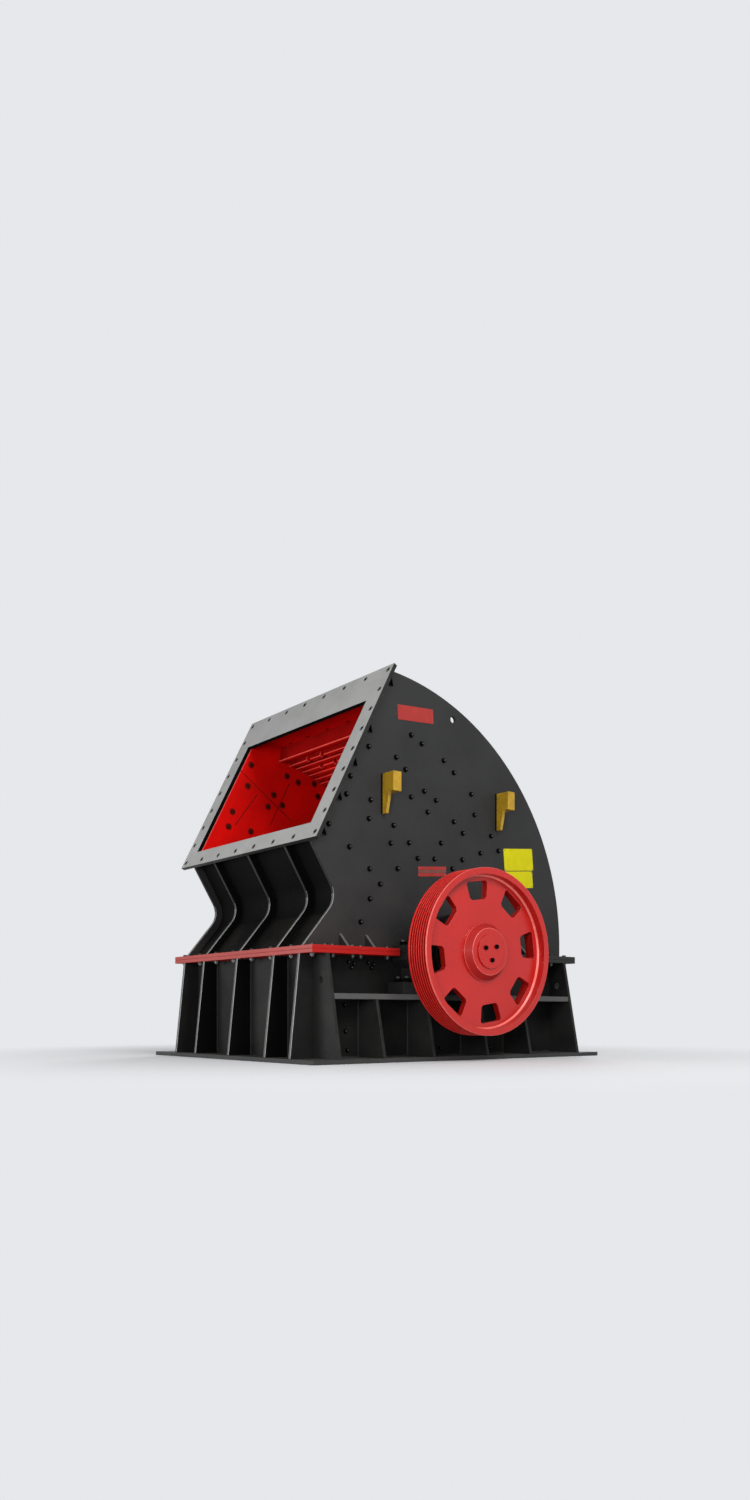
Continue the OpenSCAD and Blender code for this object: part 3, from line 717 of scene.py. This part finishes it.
@dataclass(frozen=True)
class WeldBead:
    """A weld bead in a corner: a rod whose surface swells and narrows with each pass of the torch."""

    leg: float = 7.0
    pitch: float = 16.0
    swell: float = 1.22

    def model(self, length: float, finish: Finish) -> Object:
        """Models a bead along Z with its foot at the origin.

        Args:
            length: Its length in millimetres.
            finish: Its paint.

        Returns:
            The bead.
        """
        bead = coated(rod(self.leg, 0, length, 6), finish)
        cuts = 2 * max(2, round(length / self.pitch / 2)) + 1
        step = length * MM / (cuts + 1)
        with edit(bead, "EDGE"):
            pick(bead, lambda middle, along: abs(along.z) > ALONG, edges=True)
            bpy.ops.mesh.subdivide(number_cuts=cuts)
            pick(bead, lambda middle, along: abs(along.z) < ACROSS and round(middle.z / step) % 2 == 1, edges=True)
            bpy.ops.transform.resize(value=(self.swell, self.swell, 1), center_override=mm(0, 0, length / 2))
        smooth(bead, 60)
        return bead


@dataclass(frozen=True)
class Sheet:
    """A bare sheet with four rivets on the wall by the sheave, at a place and with a turn in degrees."""

    at: Spot
    wide: float
    high: float
    tilt: float
    finish: Finish
    thick: float = 2.5
    corner: float = 6.0
    ease: float = 0.6
    inset: float = 10.0
    rivet_r: float = 4.0
    rivet_h: float = 2.2
    rivet_dome: float = 1.4

    def model(self) -> Object:
        """Models the sheet and its dome-headed rivets.

        Returns:
            The sheet, on the wall.
        """
        plate = coated(slab(self.wide, self.high, self.thick), self.finish)
        with edit(plate, "EDGE"):
            pick(plate, lambda middle, along: abs(along.z) > ALONG, edges=True)
            bpy.ops.mesh.bevel(offset=self.corner * MM, segments=3, affect="EDGES")
        x, y = self.wide / 2 - self.inset, self.high / 2 - self.inset
        corners = [stand(mm(sx * x, sy * y, self.thick), UP) for sx, sy in product(ENDS, ENDS)]
        rivet = top_eased(coated(rod(self.rivet_r, 0, self.rivet_h, 10), ZINC), self.rivet_dome, 2)
        smooth(rivet, 50)
        rivets = copies(rivet, corners, "rivets")
        piece = joined([top_eased(plate, self.ease), rivets], "sheet")
        facing = Matrix(((0, 0, 1, 0), (1, 0, 0, 0), (0, 1, 0, 0), (0, 0, 0, 1)))
        turn = Matrix.Rotation(math.radians(self.tilt), 4, "X")
        piece.data.transform(Matrix.Translation(mm(WALL_X, *self.at)) @ turn @ facing)
        return piece


# The housing


@dataclass
class PlateWork:
    """The welded plates: eased copies of the CAD nodes, with edges painted lighter where they face the light and darker
    where they look down, as painted highlight and painted shade.
    """

    ease: float = 3.0
    eave_slope: float = -0.12
    rear_slope: float = 0.3
    front_slope: float = -0.2
    corner_slope: float = 0.2
    front_y: float = -900.0
    eye_x: float = 960.0
    eye_z: float = 584.0
    eye_r: float = 32.0

    def edge_rule(self, face: Face) -> int:
        """Ribs: paint on the sides, a painted highlight on edges that look up, painted shade on those that look down or
        back, and a paler painted highlight on narrow corners.

        Args:
            face: The face.

        Returns:
            The place of its finish.
        """
        normal, width = face.normal, face.width
        if abs(normal.x) >= BROAD and width > NARROW:
            return 0
        if normal.z < self.eave_slope or normal.y > self.rear_slope:
            return 2
        return 3 if width < NARROW and abs(normal.x) > self.corner_slope else 1

    def wall_rule(self, face: Face) -> int:
        """Side walls: as ribs, on the front edge only."""
        front = face.middle.y <= self.front_y and face.normal.y <= self.front_slope
        return self.edge_rule(face) if front else 0

    def thin_rule(self, face: Face) -> int:
        """Stiffeners, corner plates and gussets, which stand square to Y: their second finish on the cut edges and
        round the eyes, painted shade on the corner plates and stiffeners and a painted highlight on the joint gussets.
        """
        in_eye = math.hypot(abs(face.middle.x) - self.eye_x, face.middle.z - self.eye_z) < self.eye_r
        return 1 if abs(face.normal.y) < BROAD or (in_eye and face.width < NARROW) else 0

    def build(self) -> list[Object]:
        """Eases the plates and paints them.

        Returns:
            The pieces.
        """
        # Painted highlight and painted shade on the cut edges, by the way they face
        edges = [EDGE, EDGE_SHADE, ARRIS]
        plan: list[tuple[tuple[str, ...], str, list[Finish], FaceRule | None]] = [
            (("base_frame",), "dark_paint", [FOOT], None),
            (("side_shelves",), "shelf_paint", [SHELF], None),
            # The gussets' cut edges take the grey as a painted highlight
            (("joint_gussets",), "dark_paint", [DARK, SHELF, ARRIS], self.thin_rule),
            (("lower_rear_wall", "lower_front_wall"), "black_paint", [SCUFFED], None),
            (("upper_front_wall",), "black_paint", [BLACK], None),
            (("back_shell", "shaft_seals"), "dark_paint", [DARK], None),
            # The cut edges and eyes take painted shade
            (("corner_plates", "shelf_stiffeners"), "dark_paint", [SCUFFED, EDGE_SHADE, ARRIS], self.thin_rule),
            (("lower_front_ribs", "upper_front_ribs"), "black_paint", [BLACK, *edges], self.edge_rule),
            (("lower_rear_ribs", "back_ribs"), "dark_paint", [DARK] + 3 * [EDGE_SHADE], self.edge_rule),
            (("upper_side_wall_right", "upper_side_wall_left"), "dark_paint", [WALL, *edges], self.wall_rule),
            (("lower_side_wall_right", "lower_side_wall_left"), "dark_paint", [LOW_WALL_BLACK, *edges], self.wall_rule),
        ]
        return [dressed(node, self.ease, slot, coats, rule) for nodes, slot, coats, rule in plan for node in nodes]


@dataclass
class FeedFlange:
    """The slanted flange with its drilled holes, and the gussets behind it."""

    foot_y: float = -1292.0
    foot_z: float = 1580.0
    tilt: float = 27.3
    length: float = 1510.0
    row_x: float = 965.0
    hole_edge: float = 46.0
    across: int = 8
    along: int = 9
    bore_reach: float = 17.0
    ease: float = 3.0
    rim: float = 40.0
    flat: float = 0.95
    side: float = 0.3
    # The rings of painted shade round the holes
    shade_ring_r: float = 18.0
    shade_ring_w: float = 2.5
    shade_ring_t: float = 0.5

    def slope(self) -> tuple[float, float]:
        """The sine and the cosine of its tilt."""
        return math.sin(math.radians(self.tilt)), math.cos(math.radians(self.tilt))

    def holes(self) -> list[Spot]:
        """The holes in the flange.

        Returns:
            Their places across and up the flange, in millimetres.
        """
        step = (self.length - 2 * self.hole_edge) / (self.along - 1)
        rows = [-self.row_x + 2 * self.row_x * i / (self.across - 1) for i in range(self.across)]
        ends = list(product(rows, (self.hole_edge, self.length - self.hole_edge)))
        return ends + [(end * self.row_x, self.hole_edge + step * i) for i in range(1, self.along - 1) for end in ENDS]

    def rule(self, face: Face) -> int:
        """Primer on the faces, a painted highlight on narrow outer edges, painted shade in the bores and the opening,
        and painted shade on the outer sides.

        Args:
            face: The face.

        Returns:
            The place of its finish.
        """
        middle, normal, width = face
        sin, cos = self.slope()
        up = (middle.y - self.foot_y) * sin + (middle.z - self.foot_z) * cos
        level = abs(normal.y * cos - normal.z * sin)
        if level < self.flat and any(math.hypot(middle.x - x, up - s) < self.bore_reach for x, s in self.holes()):
            return 2
        inside = abs(middle.x) < self.row_x - self.rim and self.rim < up < self.length - self.rim
        if level < self.side:
            return 2 if inside else 3
        return 1 if width < NARROW and level < self.flat and not inside else 0

    def hole_shade_rings(self) -> Object:
        """Models dark rings round the holes, painted shade that makes the holes read darker.

        Returns:
            The rings as one piece.
        """
        size = {"major_radius": self.shade_ring_r * MM, "minor_radius": self.shade_ring_w * MM}
        ring = start(bpy.ops.mesh.primitive_torus_add, major_segments=20, minor_segments=6, **size)
        with edit(ring):
            bpy.ops.mesh.select_all(action="SELECT")
            bpy.ops.transform.resize(value=(1, 1, self.shade_ring_t / self.shade_ring_w), center_override=(0, 0, 0))
        smooth(ring, 60)
        sin, cos = self.slope()
        aim = Vector((0, -cos, sin))
        places = [stand(mm(x, self.foot_y + s * sin, self.foot_z + s * cos), aim) for x, s in self.holes()]
        return copies(coated(ring, SHADE_BLACK), places, "flange_hole_shade_rings")

    def build(self) -> list[Object]:
        """Builds the flange's and the gussets' looks, and the rings of painted shade round the holes.

        Returns:
            The pieces.
        """
        return [
            # The primer with a painted highlight on its edges and painted shade in its bores, opening and sides
            dressed("feed_flange", self.ease, "flange_paint", [PRIMER, PRIMER_HIGHLIGHT, SHADE_BLACK, EDGE_SHADE], self.rule),
            dressed("feed_gussets", self.ease, "black_paint", [BLACK]),
            hand_over(self.hole_shade_rings(), "black_paint"),
        ]


@dataclass
class JointFlanges:
    """The flanges between the two halves and their bolts, with heads above and nuts below."""

    top: float = 828.0
    foot: float = 772.0
    row_x: tuple[float, ...] = (137.5, 412.5, 687.5, 955.0)
    row_y: float = 1285.0
    side_x: float = 958.0
    side_y: tuple[float, ...] = (-1179.0, -1114.0, -940.0, -868.0, -624.0, 490.0, 720.0, 930.0, 1120.0)
    ease: float = 3.0
    front_slope: float = -0.5

    def rule(self, face: Face) -> int:
        """The front gets a paler, pinker red as a painted highlight."""
        return 1 if face.normal.y < self.front_slope else 0

    def spots(self) -> list[Spot]:
        """The bolts' places by their X and Y, in millimetres."""
        rows = [(sx * x, sy * self.row_y) for x, sx, sy in product(self.row_x, ENDS, ENDS)]
        return rows + [(sx * self.side_x, y) for y, sx in product(self.side_y, ENDS)]

    def build(self) -> list[Object]:
        """Builds the flanges, the heads and the nuts.

        Returns:
            The pieces.
        """
        pieces = []
        for half in ("lower", "upper"):
            # The joint flanges' red: a shaded copy, with a painted highlight on the front
            coats = [HALF_SHADE_RED, FRONT_HIGHLIGHT_RED]
            pieces.append(dressed(half + "_front_flange", self.ease, "red_paint", coats, self.rule))
            pieces.append(dressed(half + "_rear_flange", self.ease, "dark_paint", [DARK]))
        heads = [stand(mm(x, y, self.top), UP, 15) for x, y in self.spots()]
        nuts = [stand(mm(x, y, self.foot), -UP, 25) for x, y in self.spots()]
        head, nut = HexFastener(stud=0, height=12).model(ZINC, OXIDE), HexFastener().model(ZINC, ZINC)
        pieces.append(hand_over(copies(head, heads, "joint_bolt_heads"), "bare_steel"))
        return pieces + [hand_over(copies(nut, nuts, "joint_nuts"), "bare_steel")]


@dataclass
class Welds:
    """The beads where the plates of the lower box meet."""

    front_y: float = 1220.0
    front_x: float = 850.0
    base_z: float = 30.0
    flange_z: float = 772.0
    shelf_z: float = 490.0
    shelf_under: float = 450.0
    rib_x: tuple[float, ...] = (-528.0, 0.0, 528.0)
    stiffener_y: tuple[float, ...] = (-816.0, -350.0, 190.0, 656.0)
    half_t: float = 12.5
    shelf_end: float = 1195.0

    def build(self) -> list[Object]:
        """Builds the beads, one length at a time.

        Returns:
            The piece.
        """
        walls = [side.value * WALL_X for side in Side]
        foot, bead = self.base_z, WeldBead()
        ribs = [(x + side * self.half_t, end * self.front_y, foot) for x, side, end in product(self.rib_x, ENDS, ENDS)]
        stiffeners = [(x, y + side * self.half_t, foot) for x, y, side in product(walls, self.stiffener_y, ENDS)]
        levels = [(x, -self.shelf_end, z) for x, z in product(walls, (foot, self.shelf_z))]
        fronts = [(-self.front_x, end * self.front_y, foot) for end in ENDS]
        plan = (
            (self.flange_z - foot, UP, ribs),
            (self.shelf_under - foot, UP, stiffeners),
            (2 * self.shelf_end, REAR, levels),
            (2 * self.front_x, OUT, fronts),
        )
        parts = [
            copies(bead.model(length, SCUFFED), [stand(mm(*point), aim) for point in points], "beads")
            for length, aim, points in plan
        ]
        return [hand_over(joined(parts, "weld_beads"), "dark_paint")]


@dataclass
class Liners:
    """The wear liners and the impact plate, strips of painted shade in their seams and their heads inside, and their
    nuts outside.
    """

    liner: float = 832.0
    ease: float = 2.0
    bar_ease: float = 5.0
    bar_narrow: float = 5.0
    seam_wide: float = 9.0
    seam_t: float = 2.4
    seam_sunk: float = 1.6
    seam_ease: float = 0.6
    roof_r: float = 1810.0
    back_c: Spot = (-690.1, 915.1)
    seams: tuple[tuple[Spot, Spot], ...] = (
        ((-819, 2442), (-305, 2068)), ((-651, 2260), (-874, 1967)), ((-319, 2402), (-523, 2006)),
    )
    outside: tuple[Spot, ...] = (
        (-330, 2465), (-225, 2415), (-735, 2315), (-475, 2275), (0, 2320), (-385, 2195),
        (105, 2240), (-200, 2055), (-330, 1995), (-80, 2000), (-165, 1900), (290, 2095),
        (325, 1935), (105, 1855), (200, 1775), (507, 1785), (590, 1673), (390, 1635),
        (195, 1565), (-28, 1675), (-350, 1645), (-527, 1625), (-500, 1760), (-732, 1785),
        (-716, 1925), (-910, 1560), (-726, 1415), (-461, 1440), (-264, 1535), (-96, 1545),
        (90, 1485), (-627, 1310), (-723, 1195), (-808, 1020), (-936, 1940), (-900, 2075),
        (-1093, 1706),
    )
    inside: tuple[Spot, ...] = (
        (-715, 2506), (-749, 2319), (-487, 2275), (-545, 2166), (-396, 2196), (-901, 2080),
        (-939, 1948), (-719, 1930), (-349, 2460), (-230, 2420), (-18, 2322), (-57, 2431),
    )
    roof_x: tuple[float, ...] = (-640.0, -380.0, -90.0, 200.0, 480.0)
    roof_at: float = 8.2
    beam_z: float = 2540.0
    beam_edge: Spot = (-428.0, 2580.0)

    def plate_rule(self, face: Face) -> int:
        """Side liners: a painted highlight on their cut edges."""
        return 0 if abs(face.normal.x) > BROAD else 1

    def step_rule(self, face: Face) -> int:
        """The impact plate: a painted highlight on its eased edges, and painted shade on the beam's face."""
        beam = 2 if face.normal.y < -ALONG and face.middle.z > self.beam_z else 0
        return 1 if face.width < self.bar_narrow else beam

    def joints(self) -> Object:
        """Models dark strips on both walls that stand for the shade in the seams between the liner plates, as painted
        shade.

        Returns:
            The strips as one piece.
        """
        parts = []
        flat = Matrix.Rotation(math.radians(90), 4, "Z")
        for (y0, z0), (y1, z1) in self.seams:
            strip = slab(math.hypot(y1 - y0, z1 - z0), self.seam_wide, self.seam_t, -self.seam_sunk)
            spin = Matrix.Rotation(math.atan2(z1 - z0, y1 - y0), 4, "X")
            places = [
                Matrix.Translation(mm(side.value * self.liner, (y0 + y1) / 2, (z0 + z1) / 2))
                @ spin @ Matrix.Rotation(math.radians(-90 * side.value), 4, "Y") @ flat
                for side in Side
            ]
            parts.append(copies(top_eased(coated(strip, LINER_BOLT_AND_SEAM_SHADE), self.seam_ease), places, "liner_seam_shade"))
        return joined(parts, "liner_seam_shades")

    def build(self) -> list[Object]:
        """Builds the liners' looks and their bolts on both sides.

        Returns:
            The pieces.
        """
        # The liners' red primer, with a painted highlight on edges and painted shade on the beam
        red, coats = "liner_paint", [LINER, LINER_HIGHLIGHT, LINER_SHADE]
        pieces = [dressed("side_liner_" + n, self.ease, red, coats[:2], self.plate_rule) for n in ("right", "left")]
        pieces += [dressed("impact_" + n, self.bar_ease, red, coats, self.step_rule) for n in ("frame", "bars")]
        pieces.append(hand_over(self.joints(), red))
        # The bead along the beam's edge in the paler red: a painted highlight along the lip
        bead = WeldBead(6, 22).model(2 * self.liner, LINER_HIGHLIGHT)
        along = [stand(mm(-self.liner, *self.beam_edge), OUT)]
        pieces.append(hand_over(copies(bead, along, "beam_bead"), red))
        angle = math.radians(self.roof_at)
        aim = Vector((0, -math.sin(angle), -math.cos(angle)))
        y, z = self.back_c[0] - self.roof_r * aim.y, self.back_c[1] - self.roof_r * aim.z
        roof = [stand(mm(x, y, z), aim, x) for x in self.roof_x]
        # Dark nuts: their black taken deeper as painted shade, with a painted highlight on the thread ends
        nut = HexFastener(30, 14, 41, 3, 2, 5, 14).model(SHADE_BLACK, SHADE_BLACK, NUT_TOP_HIGHLIGHT)
        head = HexFastener(34, 10, 60, 3, 2, 0).model(LINER_BOLT_AND_SEAM_SHADE, LINER_HEAD)
        roof_head = HexFastener(24, 6, 40, 2, 1.5, 0).model(LINER, LINER_BOLT_AND_SEAM_SHADE)
        pieces.append(hand_over(copies(nut, on_walls(WALL_X, self.outside), "liner_nuts"), "black_paint"))
        heads = copies(head, on_walls(self.liner, self.inside, inward=True), "side_heads")
        inner = joined([heads, copies(roof_head, roof, "roof_heads")], "liner_bolt_heads")
        return pieces + [hand_over(inner, red)]


@dataclass
class Fittings:
    """The hooks with their beads, the small bolts low on the side walls and the bare sheets."""

    ease: float = 3.0
    hook_y: tuple[float, ...] = (-608.0, 566.0)
    hook_z: float = 1833.0
    hook_h: float = 300.0
    hook_head: float = 155.0
    hook_w: float = 76.0
    hook_t: float = 25.0
    low_bolts: tuple[Spot, ...] = (
        (-956, 410), (-812, 404), (-947, 222), (-812, 228), (-929, 84), (-812, 90), (-40, 82), (486, 80),
    )
    band_bolts: tuple[Spot, ...] = (
        (-918, 722), (-872, 712), (-893, 684), (-740, 724), (-692, 712), (-711, 686),
    )
    red: Sheet = Sheet((-283, 2631), 352, 112, 3.6, SHEET_RED)
    stripes: tuple[Sheet, ...] = (
        Sheet((-116, 1471), 285, 26, 4.8, SHEET_RED),
        Sheet((-116, 1446), 285, 22, 4.8, SHEET_DULL),
        Sheet((-116, 1421), 285, 26, 4.8, SHEET_RED),
    )
    lemons: tuple[Sheet, ...] = (
        Sheet((822, 1622), 333, 180, 5.2, LEMON),
        Sheet((822, 1456), 333, 138, 5.0, LEMON),
    )

    def hook_beads(self) -> Object:
        """Models the weld beads that hold the hooks to the walls, in black as painted shade along the hooks' feet.

        Returns:
            The beads as one piece.
        """
        parts = []
        runs = (
            (0.0, 0.0, self.hook_h),
            (self.hook_t, 0.0, self.hook_head),
            (self.hook_w, self.hook_head, self.hook_h - self.hook_head),
        )
        for over, foot, length in runs:
            places = [
                stand(mm(side.value * WALL_X, y + over, self.hook_z + foot), UP)
                for side, y in product(Side, self.hook_y)
            ]
            # Black beads: painted shade where the hooks meet the walls
            parts.append(copies(WeldBead(9).model(length, BLACK), places, "hook_bead"))
        return joined(parts, "hook_beads")

    def build(self) -> list[Object]:
        """Builds the fittings.

        Returns:
            The pieces.
        """
        hooks = dressed("lifting_hooks", self.ease, "yellow_paint", [YELLOW])
        # Dark bolts: their black taken deeper as painted shade, with a painted highlight on the thread ends
        bolt = HexFastener(24, 12, 32, 3, 1.6, 5, 12).model(SHADE_BLACK, SHADE_BLACK, NUT_TOP_HIGHLIGHT)
        places = on_walls(WALL_X, self.low_bolts) + on_walls(WALL_X, self.band_bolts)
        bolts = copies(bolt, places, "wall_bolts")
        red = self.red.model()
        stripes = joined([sheet.model() for sheet in self.stripes], "striped_sheet")
        lemons = joined([sheet.model() for sheet in self.lemons], "yellow_sheets")
        return [
            hooks,
            hand_over(self.hook_beads(), "black_paint"),
            hand_over(bolts, "black_paint"),
            hand_over(red, "red_paint"),
            hand_over(stripes, "red_paint"),
            hand_over(lemons, "yellow_paint"),
        ]


@dataclass
class Bearings:
    """The bearing blocks with the bolts of their soles, caps and covers."""

    bolt_x: tuple[float, ...] = (937.0, 1040.0)
    sole: Spot = (425.0, 580.0)
    cap: Spot = (375.0, 856.0)
    cover_x: float = 1107.0
    cover_circle: float = 330.0
    cover_bolts: int = 8
    ease: float = 4.0

    def build(self) -> list[Object]:
        """Builds the blocks' looks and their bolts.

        Returns:
            The pieces.
        """
        nodes = ("bearing_blocks", "bearing_caps", "bearing_covers")
        pieces = [dressed(node, self.ease, "black_paint", [SCUFFED]) for node in nodes]
        feet, covers = [], []
        angles = [360 * (i + 0.5) / self.cover_bolts for i in range(self.cover_bolts)]
        for side in Side:
            for x, end in product(self.bolt_x, ENDS):
                for (y, z), turn in ((self.sole, 10), (self.cap, 20)):
                    feet.append(stand(mm(side.value * x, AXIS_Y + end * y, z), UP, turn))
            covers += round_axis(self.cover_x, self.cover_circle / 2, angles, side)
        # Dark nuts: their black taken deeper as painted shade, with a painted highlight on the thread ends
        big = HexFastener(46, 26, 60, 5, 3, 14, 30).model(SHADE_BLACK, SHADE_BLACK, NUT_TOP_HIGHLIGHT)
        small = HexFastener(24, 10, 30, 2.5, 1.6, 0).model(OXIDE, OXIDE)
        pieces.append(hand_over(copies(big, feet, "bearing_nuts"), "black_paint"))
        return pieces + [hand_over(copies(small, covers, "cover_bolts"), "black_paint")]


@dataclass
class Rotor:
    """The rotor's looks: the eased sheave and end plate, the shaft, and the end plate's bolts."""

    ease: float = 2.0
    shaft_ease: float = 3.0
    # The grooved part of the rim, and from where on it is the lands between the grooves
    groove_r: float = 589.0
    groove_x: float = 1476.0
    land_r: float = 610.0
    # The rim's outer edge, and the turn from the rim down to the web
    rim_r: float = 608.0
    turn_r: tuple[float, float] = (553.0, 565.0)
    web_x: float = 1416.0
    # The windows' edges, and the slope of the hub with the lines at its ends
    window_r: tuple[float, float] = (379.0, 525.0)
    window_x: tuple[float, float] = (1368.0, 1412.0)
    hub_r: tuple[float, float] = (168.0, 214.0)
    hub_x: float = 1428.0
    hub_line: float = 4.0
    end_x: float = 1492.0
    bolt_circle: float = 125.0
    bolt_angles: tuple[float, ...] = (36.0, 156.0, 276.0)

    def rule(self, face: Face) -> int:
        """Sheave: painted shade in the grooves, on the windows' sides and on the hub's cone, and painted highlights on
        the lands and on the turned edges.

        Args:
            face: The face.

        Returns:
            The place of its finish.
        """
        middle, normal, width = face
        reach, facing = math.hypot(middle.y - AXIS_Y, middle.z - AXIS_Z), abs(normal.x)
        if reach > self.groove_r and middle.x < self.groove_x:
            return 3 if reach > self.land_r else 1
        in_window = self.window_r[0] < reach < self.window_r[1] and self.window_x[0] < middle.x < self.window_x[1]
        if in_window and facing < 0.35:
            return 1
        if self.hub_r[0] < reach < self.hub_r[1] and middle.x > self.hub_x and facing < 0.97:
            return 2 if width < self.hub_line else 4
        turned = self.turn_r[0] < reach < self.turn_r[1] and 0.1 < facing < 0.98 and middle.x > self.web_x
        return 2 if turned or reach > self.rim_r else 0

    def build(self) -> list[Object]:
        """Builds the pieces that turn.

        Returns:
            The pieces.
        """
        # The sheave's red, with painted shade and painted highlights
        coats = [RED, DEEP_SHADE_RED, EDGE_HIGHLIGHT_RED, LAND_HIGHLIGHT_RED, HALF_SHADE_RED]
        pieces = [
            dressed("sheave", self.ease, "red_paint", coats, self.rule, Body.ROTOR),
            dressed("shaft_end_plate", self.ease, "red_paint", [RED], None, Body.ROTOR),
            dressed("rotor_shaft", self.shaft_ease, "bare_steel", [TURNED], None, Body.ROTOR),
        ]
        # Dark bolts: their black taken deeper as painted shade
        bolt = HexFastener(30, 12, 34, 3, 2, 0).model(SHADE_BLACK, SHADE_BLACK)
        places = round_axis(self.end_x, self.bolt_circle / 2, self.bolt_angles, Side.SHEAVE)
        return pieces + [hand_over(copies(bolt, places, "end_plate_bolts"), "black_paint", Body.ROTOR)]


# The studio


@dataclass
class Studio:
    """A pale floor and sky, one large soft key from the right, fills into the feed opening and from behind."""

    camera_at: tuple[float, float, float] = (6993.3, -5378.2, 336.7)
    heading: float = 52.44
    focal: float = 25.04
    sensor: float = 36.0
    rise: float = 0.1768
    floor_half: float = 40.0
    floor_drop: float = 0.001
    fade_from: float = 1.8
    fade_to: float = 4.6
    floor_tone: str = "#cfd0d2"
    backdrop: str = "#e6e8eb"
    daylight: float = 0.42

    def build(self) -> None:
        """Builds the camera, the lamps, the floor and the world."""
        self.camera()
        self.lamp("key", (9.0, -1.2, 7.5), (0, 0, 1.4), 4.0, 800.0)
        self.lamp("fill", (-2.2, -7.0, 0.7), (0, -0.6, 2.3), 3.0, 300.0)
        self.lamp("front", (6.0, -6.6, 1.8), (-0.7, -0.7, 2.1), 2.4, 330.0)
        self.lamp("rear", (-5.5, 6.5, 5.0), (0, 0, 1.3), 3.0, 380.0)
        self.floor()
        self.sky()

    def camera(self) -> None:
        """Makes the camera at the photograph's place and angle."""
        lens = bpy.data.cameras.new("camera")
        lens.lens = self.focal
        lens.sensor_width = self.sensor
        lens.shift_y = self.rise
        lens.clip_end = 5 * self.floor_half
        camera = placed("camera", lens)
        camera.location = mm(*self.camera_at)
        camera.rotation_euler = (math.radians(90), 0, math.radians(self.heading))
        bpy.context.scene.camera = camera

    def lamp(
        self, name: str, at: tuple[float, float, float], to: tuple[float, float, float], size: float, power: float
    ) -> None:
        """Makes a square soft lamp.

        Args:
            name: The lamp's name.
            at: Its place in metres.
            to: What it looks at, in metres.
            size: The length of its side in metres.
            power: Its power in watts.
        """
        light = bpy.data.lights.new(name, "AREA")
        light.shape = "SQUARE"
        light.size = size
        light.energy = power
        lamp = placed(name, light)
        lamp.location = at
        lamp.rotation_euler = (Vector(to) - Vector(at)).to_track_quat("-Z", "Y").to_euler()

    def looked_at(self, tree: NodeTree) -> NodeSocket:
        """Adds nodes that say whether a ray comes from the camera, a gloss or glass.

        Args:
            tree: The node tree.

        Returns:
            The socket that is one for such a ray.
        """
        path = add_node(tree, "LightPath").node.outputs
        either = add_node(tree, "Math", None, {0: path["Is Camera Ray"], 1: path["Is Glossy Ray"]}, operation="MAXIMUM")
        return add_node(tree, "Math", None, {0: either, 1: path["Is Transmission Ray"]}, operation="MAXIMUM")

    def floor(self) -> None:
        """Makes the plain pale floor, which fades into the backdrop away from the machine."""
        drop = (0, 0, -self.floor_drop)
        floor = start(bpy.ops.mesh.primitive_plane_add, size=2 * self.floor_half, location=drop)
        floor.name = "floor"
        material = bpy.data.materials.new("studio_floor")
        material.use_nodes = True
        tree = material.node_tree
        shader = tree.nodes["Principled BSDF"]
        shader.inputs["Base Color"].default_value = to_linear(self.floor_tone)
        shader.inputs["Roughness"].default_value = 0.9
        shader.inputs["Specular IOR Level"].default_value = 0.1
        place = add_node(tree, "TexCoord", out="Object")
        reach = add_node(tree, "VectorMath", None, {0: place}, "Value", operation="LENGTH")
        span = {"From Min": self.fade_from, "From Max": self.fade_to}
        far = add_node(tree, "MapRange", span, {"Value": reach}, interpolation_type="SMOOTHSTEP")
        share = add_node(tree, "Math", None, {0: far, 1: self.looked_at(tree)}, operation="MULTIPLY")
        glow = add_node(tree, "Emission", {"Color": to_linear(self.backdrop), "Strength": 1.0})
        mixed = add_node(tree, "MixShader", None, {0: share, 1: shader.outputs["BSDF"], 2: glow})
        tree.links.new(mixed, tree.nodes["Material Output"].inputs["Surface"])
        floor.data.materials.append(material)

    def sky(self) -> None:
        """Lights the world softly, and shows it pale to the camera and in glossy metal."""
        world = bpy.data.worlds.new("studio")
        bpy.context.scene.world = world
        world.use_nodes = True
        tree = world.node_tree
        soft = add_node(tree, "Background", {"Color": to_linear("#ffffff"), "Strength": self.daylight})
        shown = add_node(tree, "Background", {"Color": to_linear(self.backdrop), "Strength": 1.0})
        mixed = add_node(tree, "MixShader", None, {0: self.looked_at(tree), 1: soft, 2: shown})
        tree.links.new(mixed, tree.nodes["World Output"].inputs["Surface"])


def paint_nodes() -> None:
    """Gives each CAD node the finish of its slot in the record."""
    for part in frame["record"]["subparts"]:
        coated(frame["nodes"][part["node"]], SLOT_COAT[part["material_slot"]])


def main() -> None:
    """Builds the studio and the sub-assemblies in order."""
    logging.basicConfig(level=logging.INFO, format="%(name)s: %(message)s", stream=sys.stdout)
    bpy.context.scene.view_settings.view_transform = "Standard"
    Studio().build()
    paint_nodes()
    for assembly in (PlateWork(), FeedFlange(), JointFlanges(), Welds(), Liners(), Fittings(), Bearings(), Rotor()):
        for piece in assembly.build():
            LOG.info("%s: %s with %d faces", type(assembly).__name__, piece.name, len(piece.data.polygons))


if __name__ == "__main__":
    main()
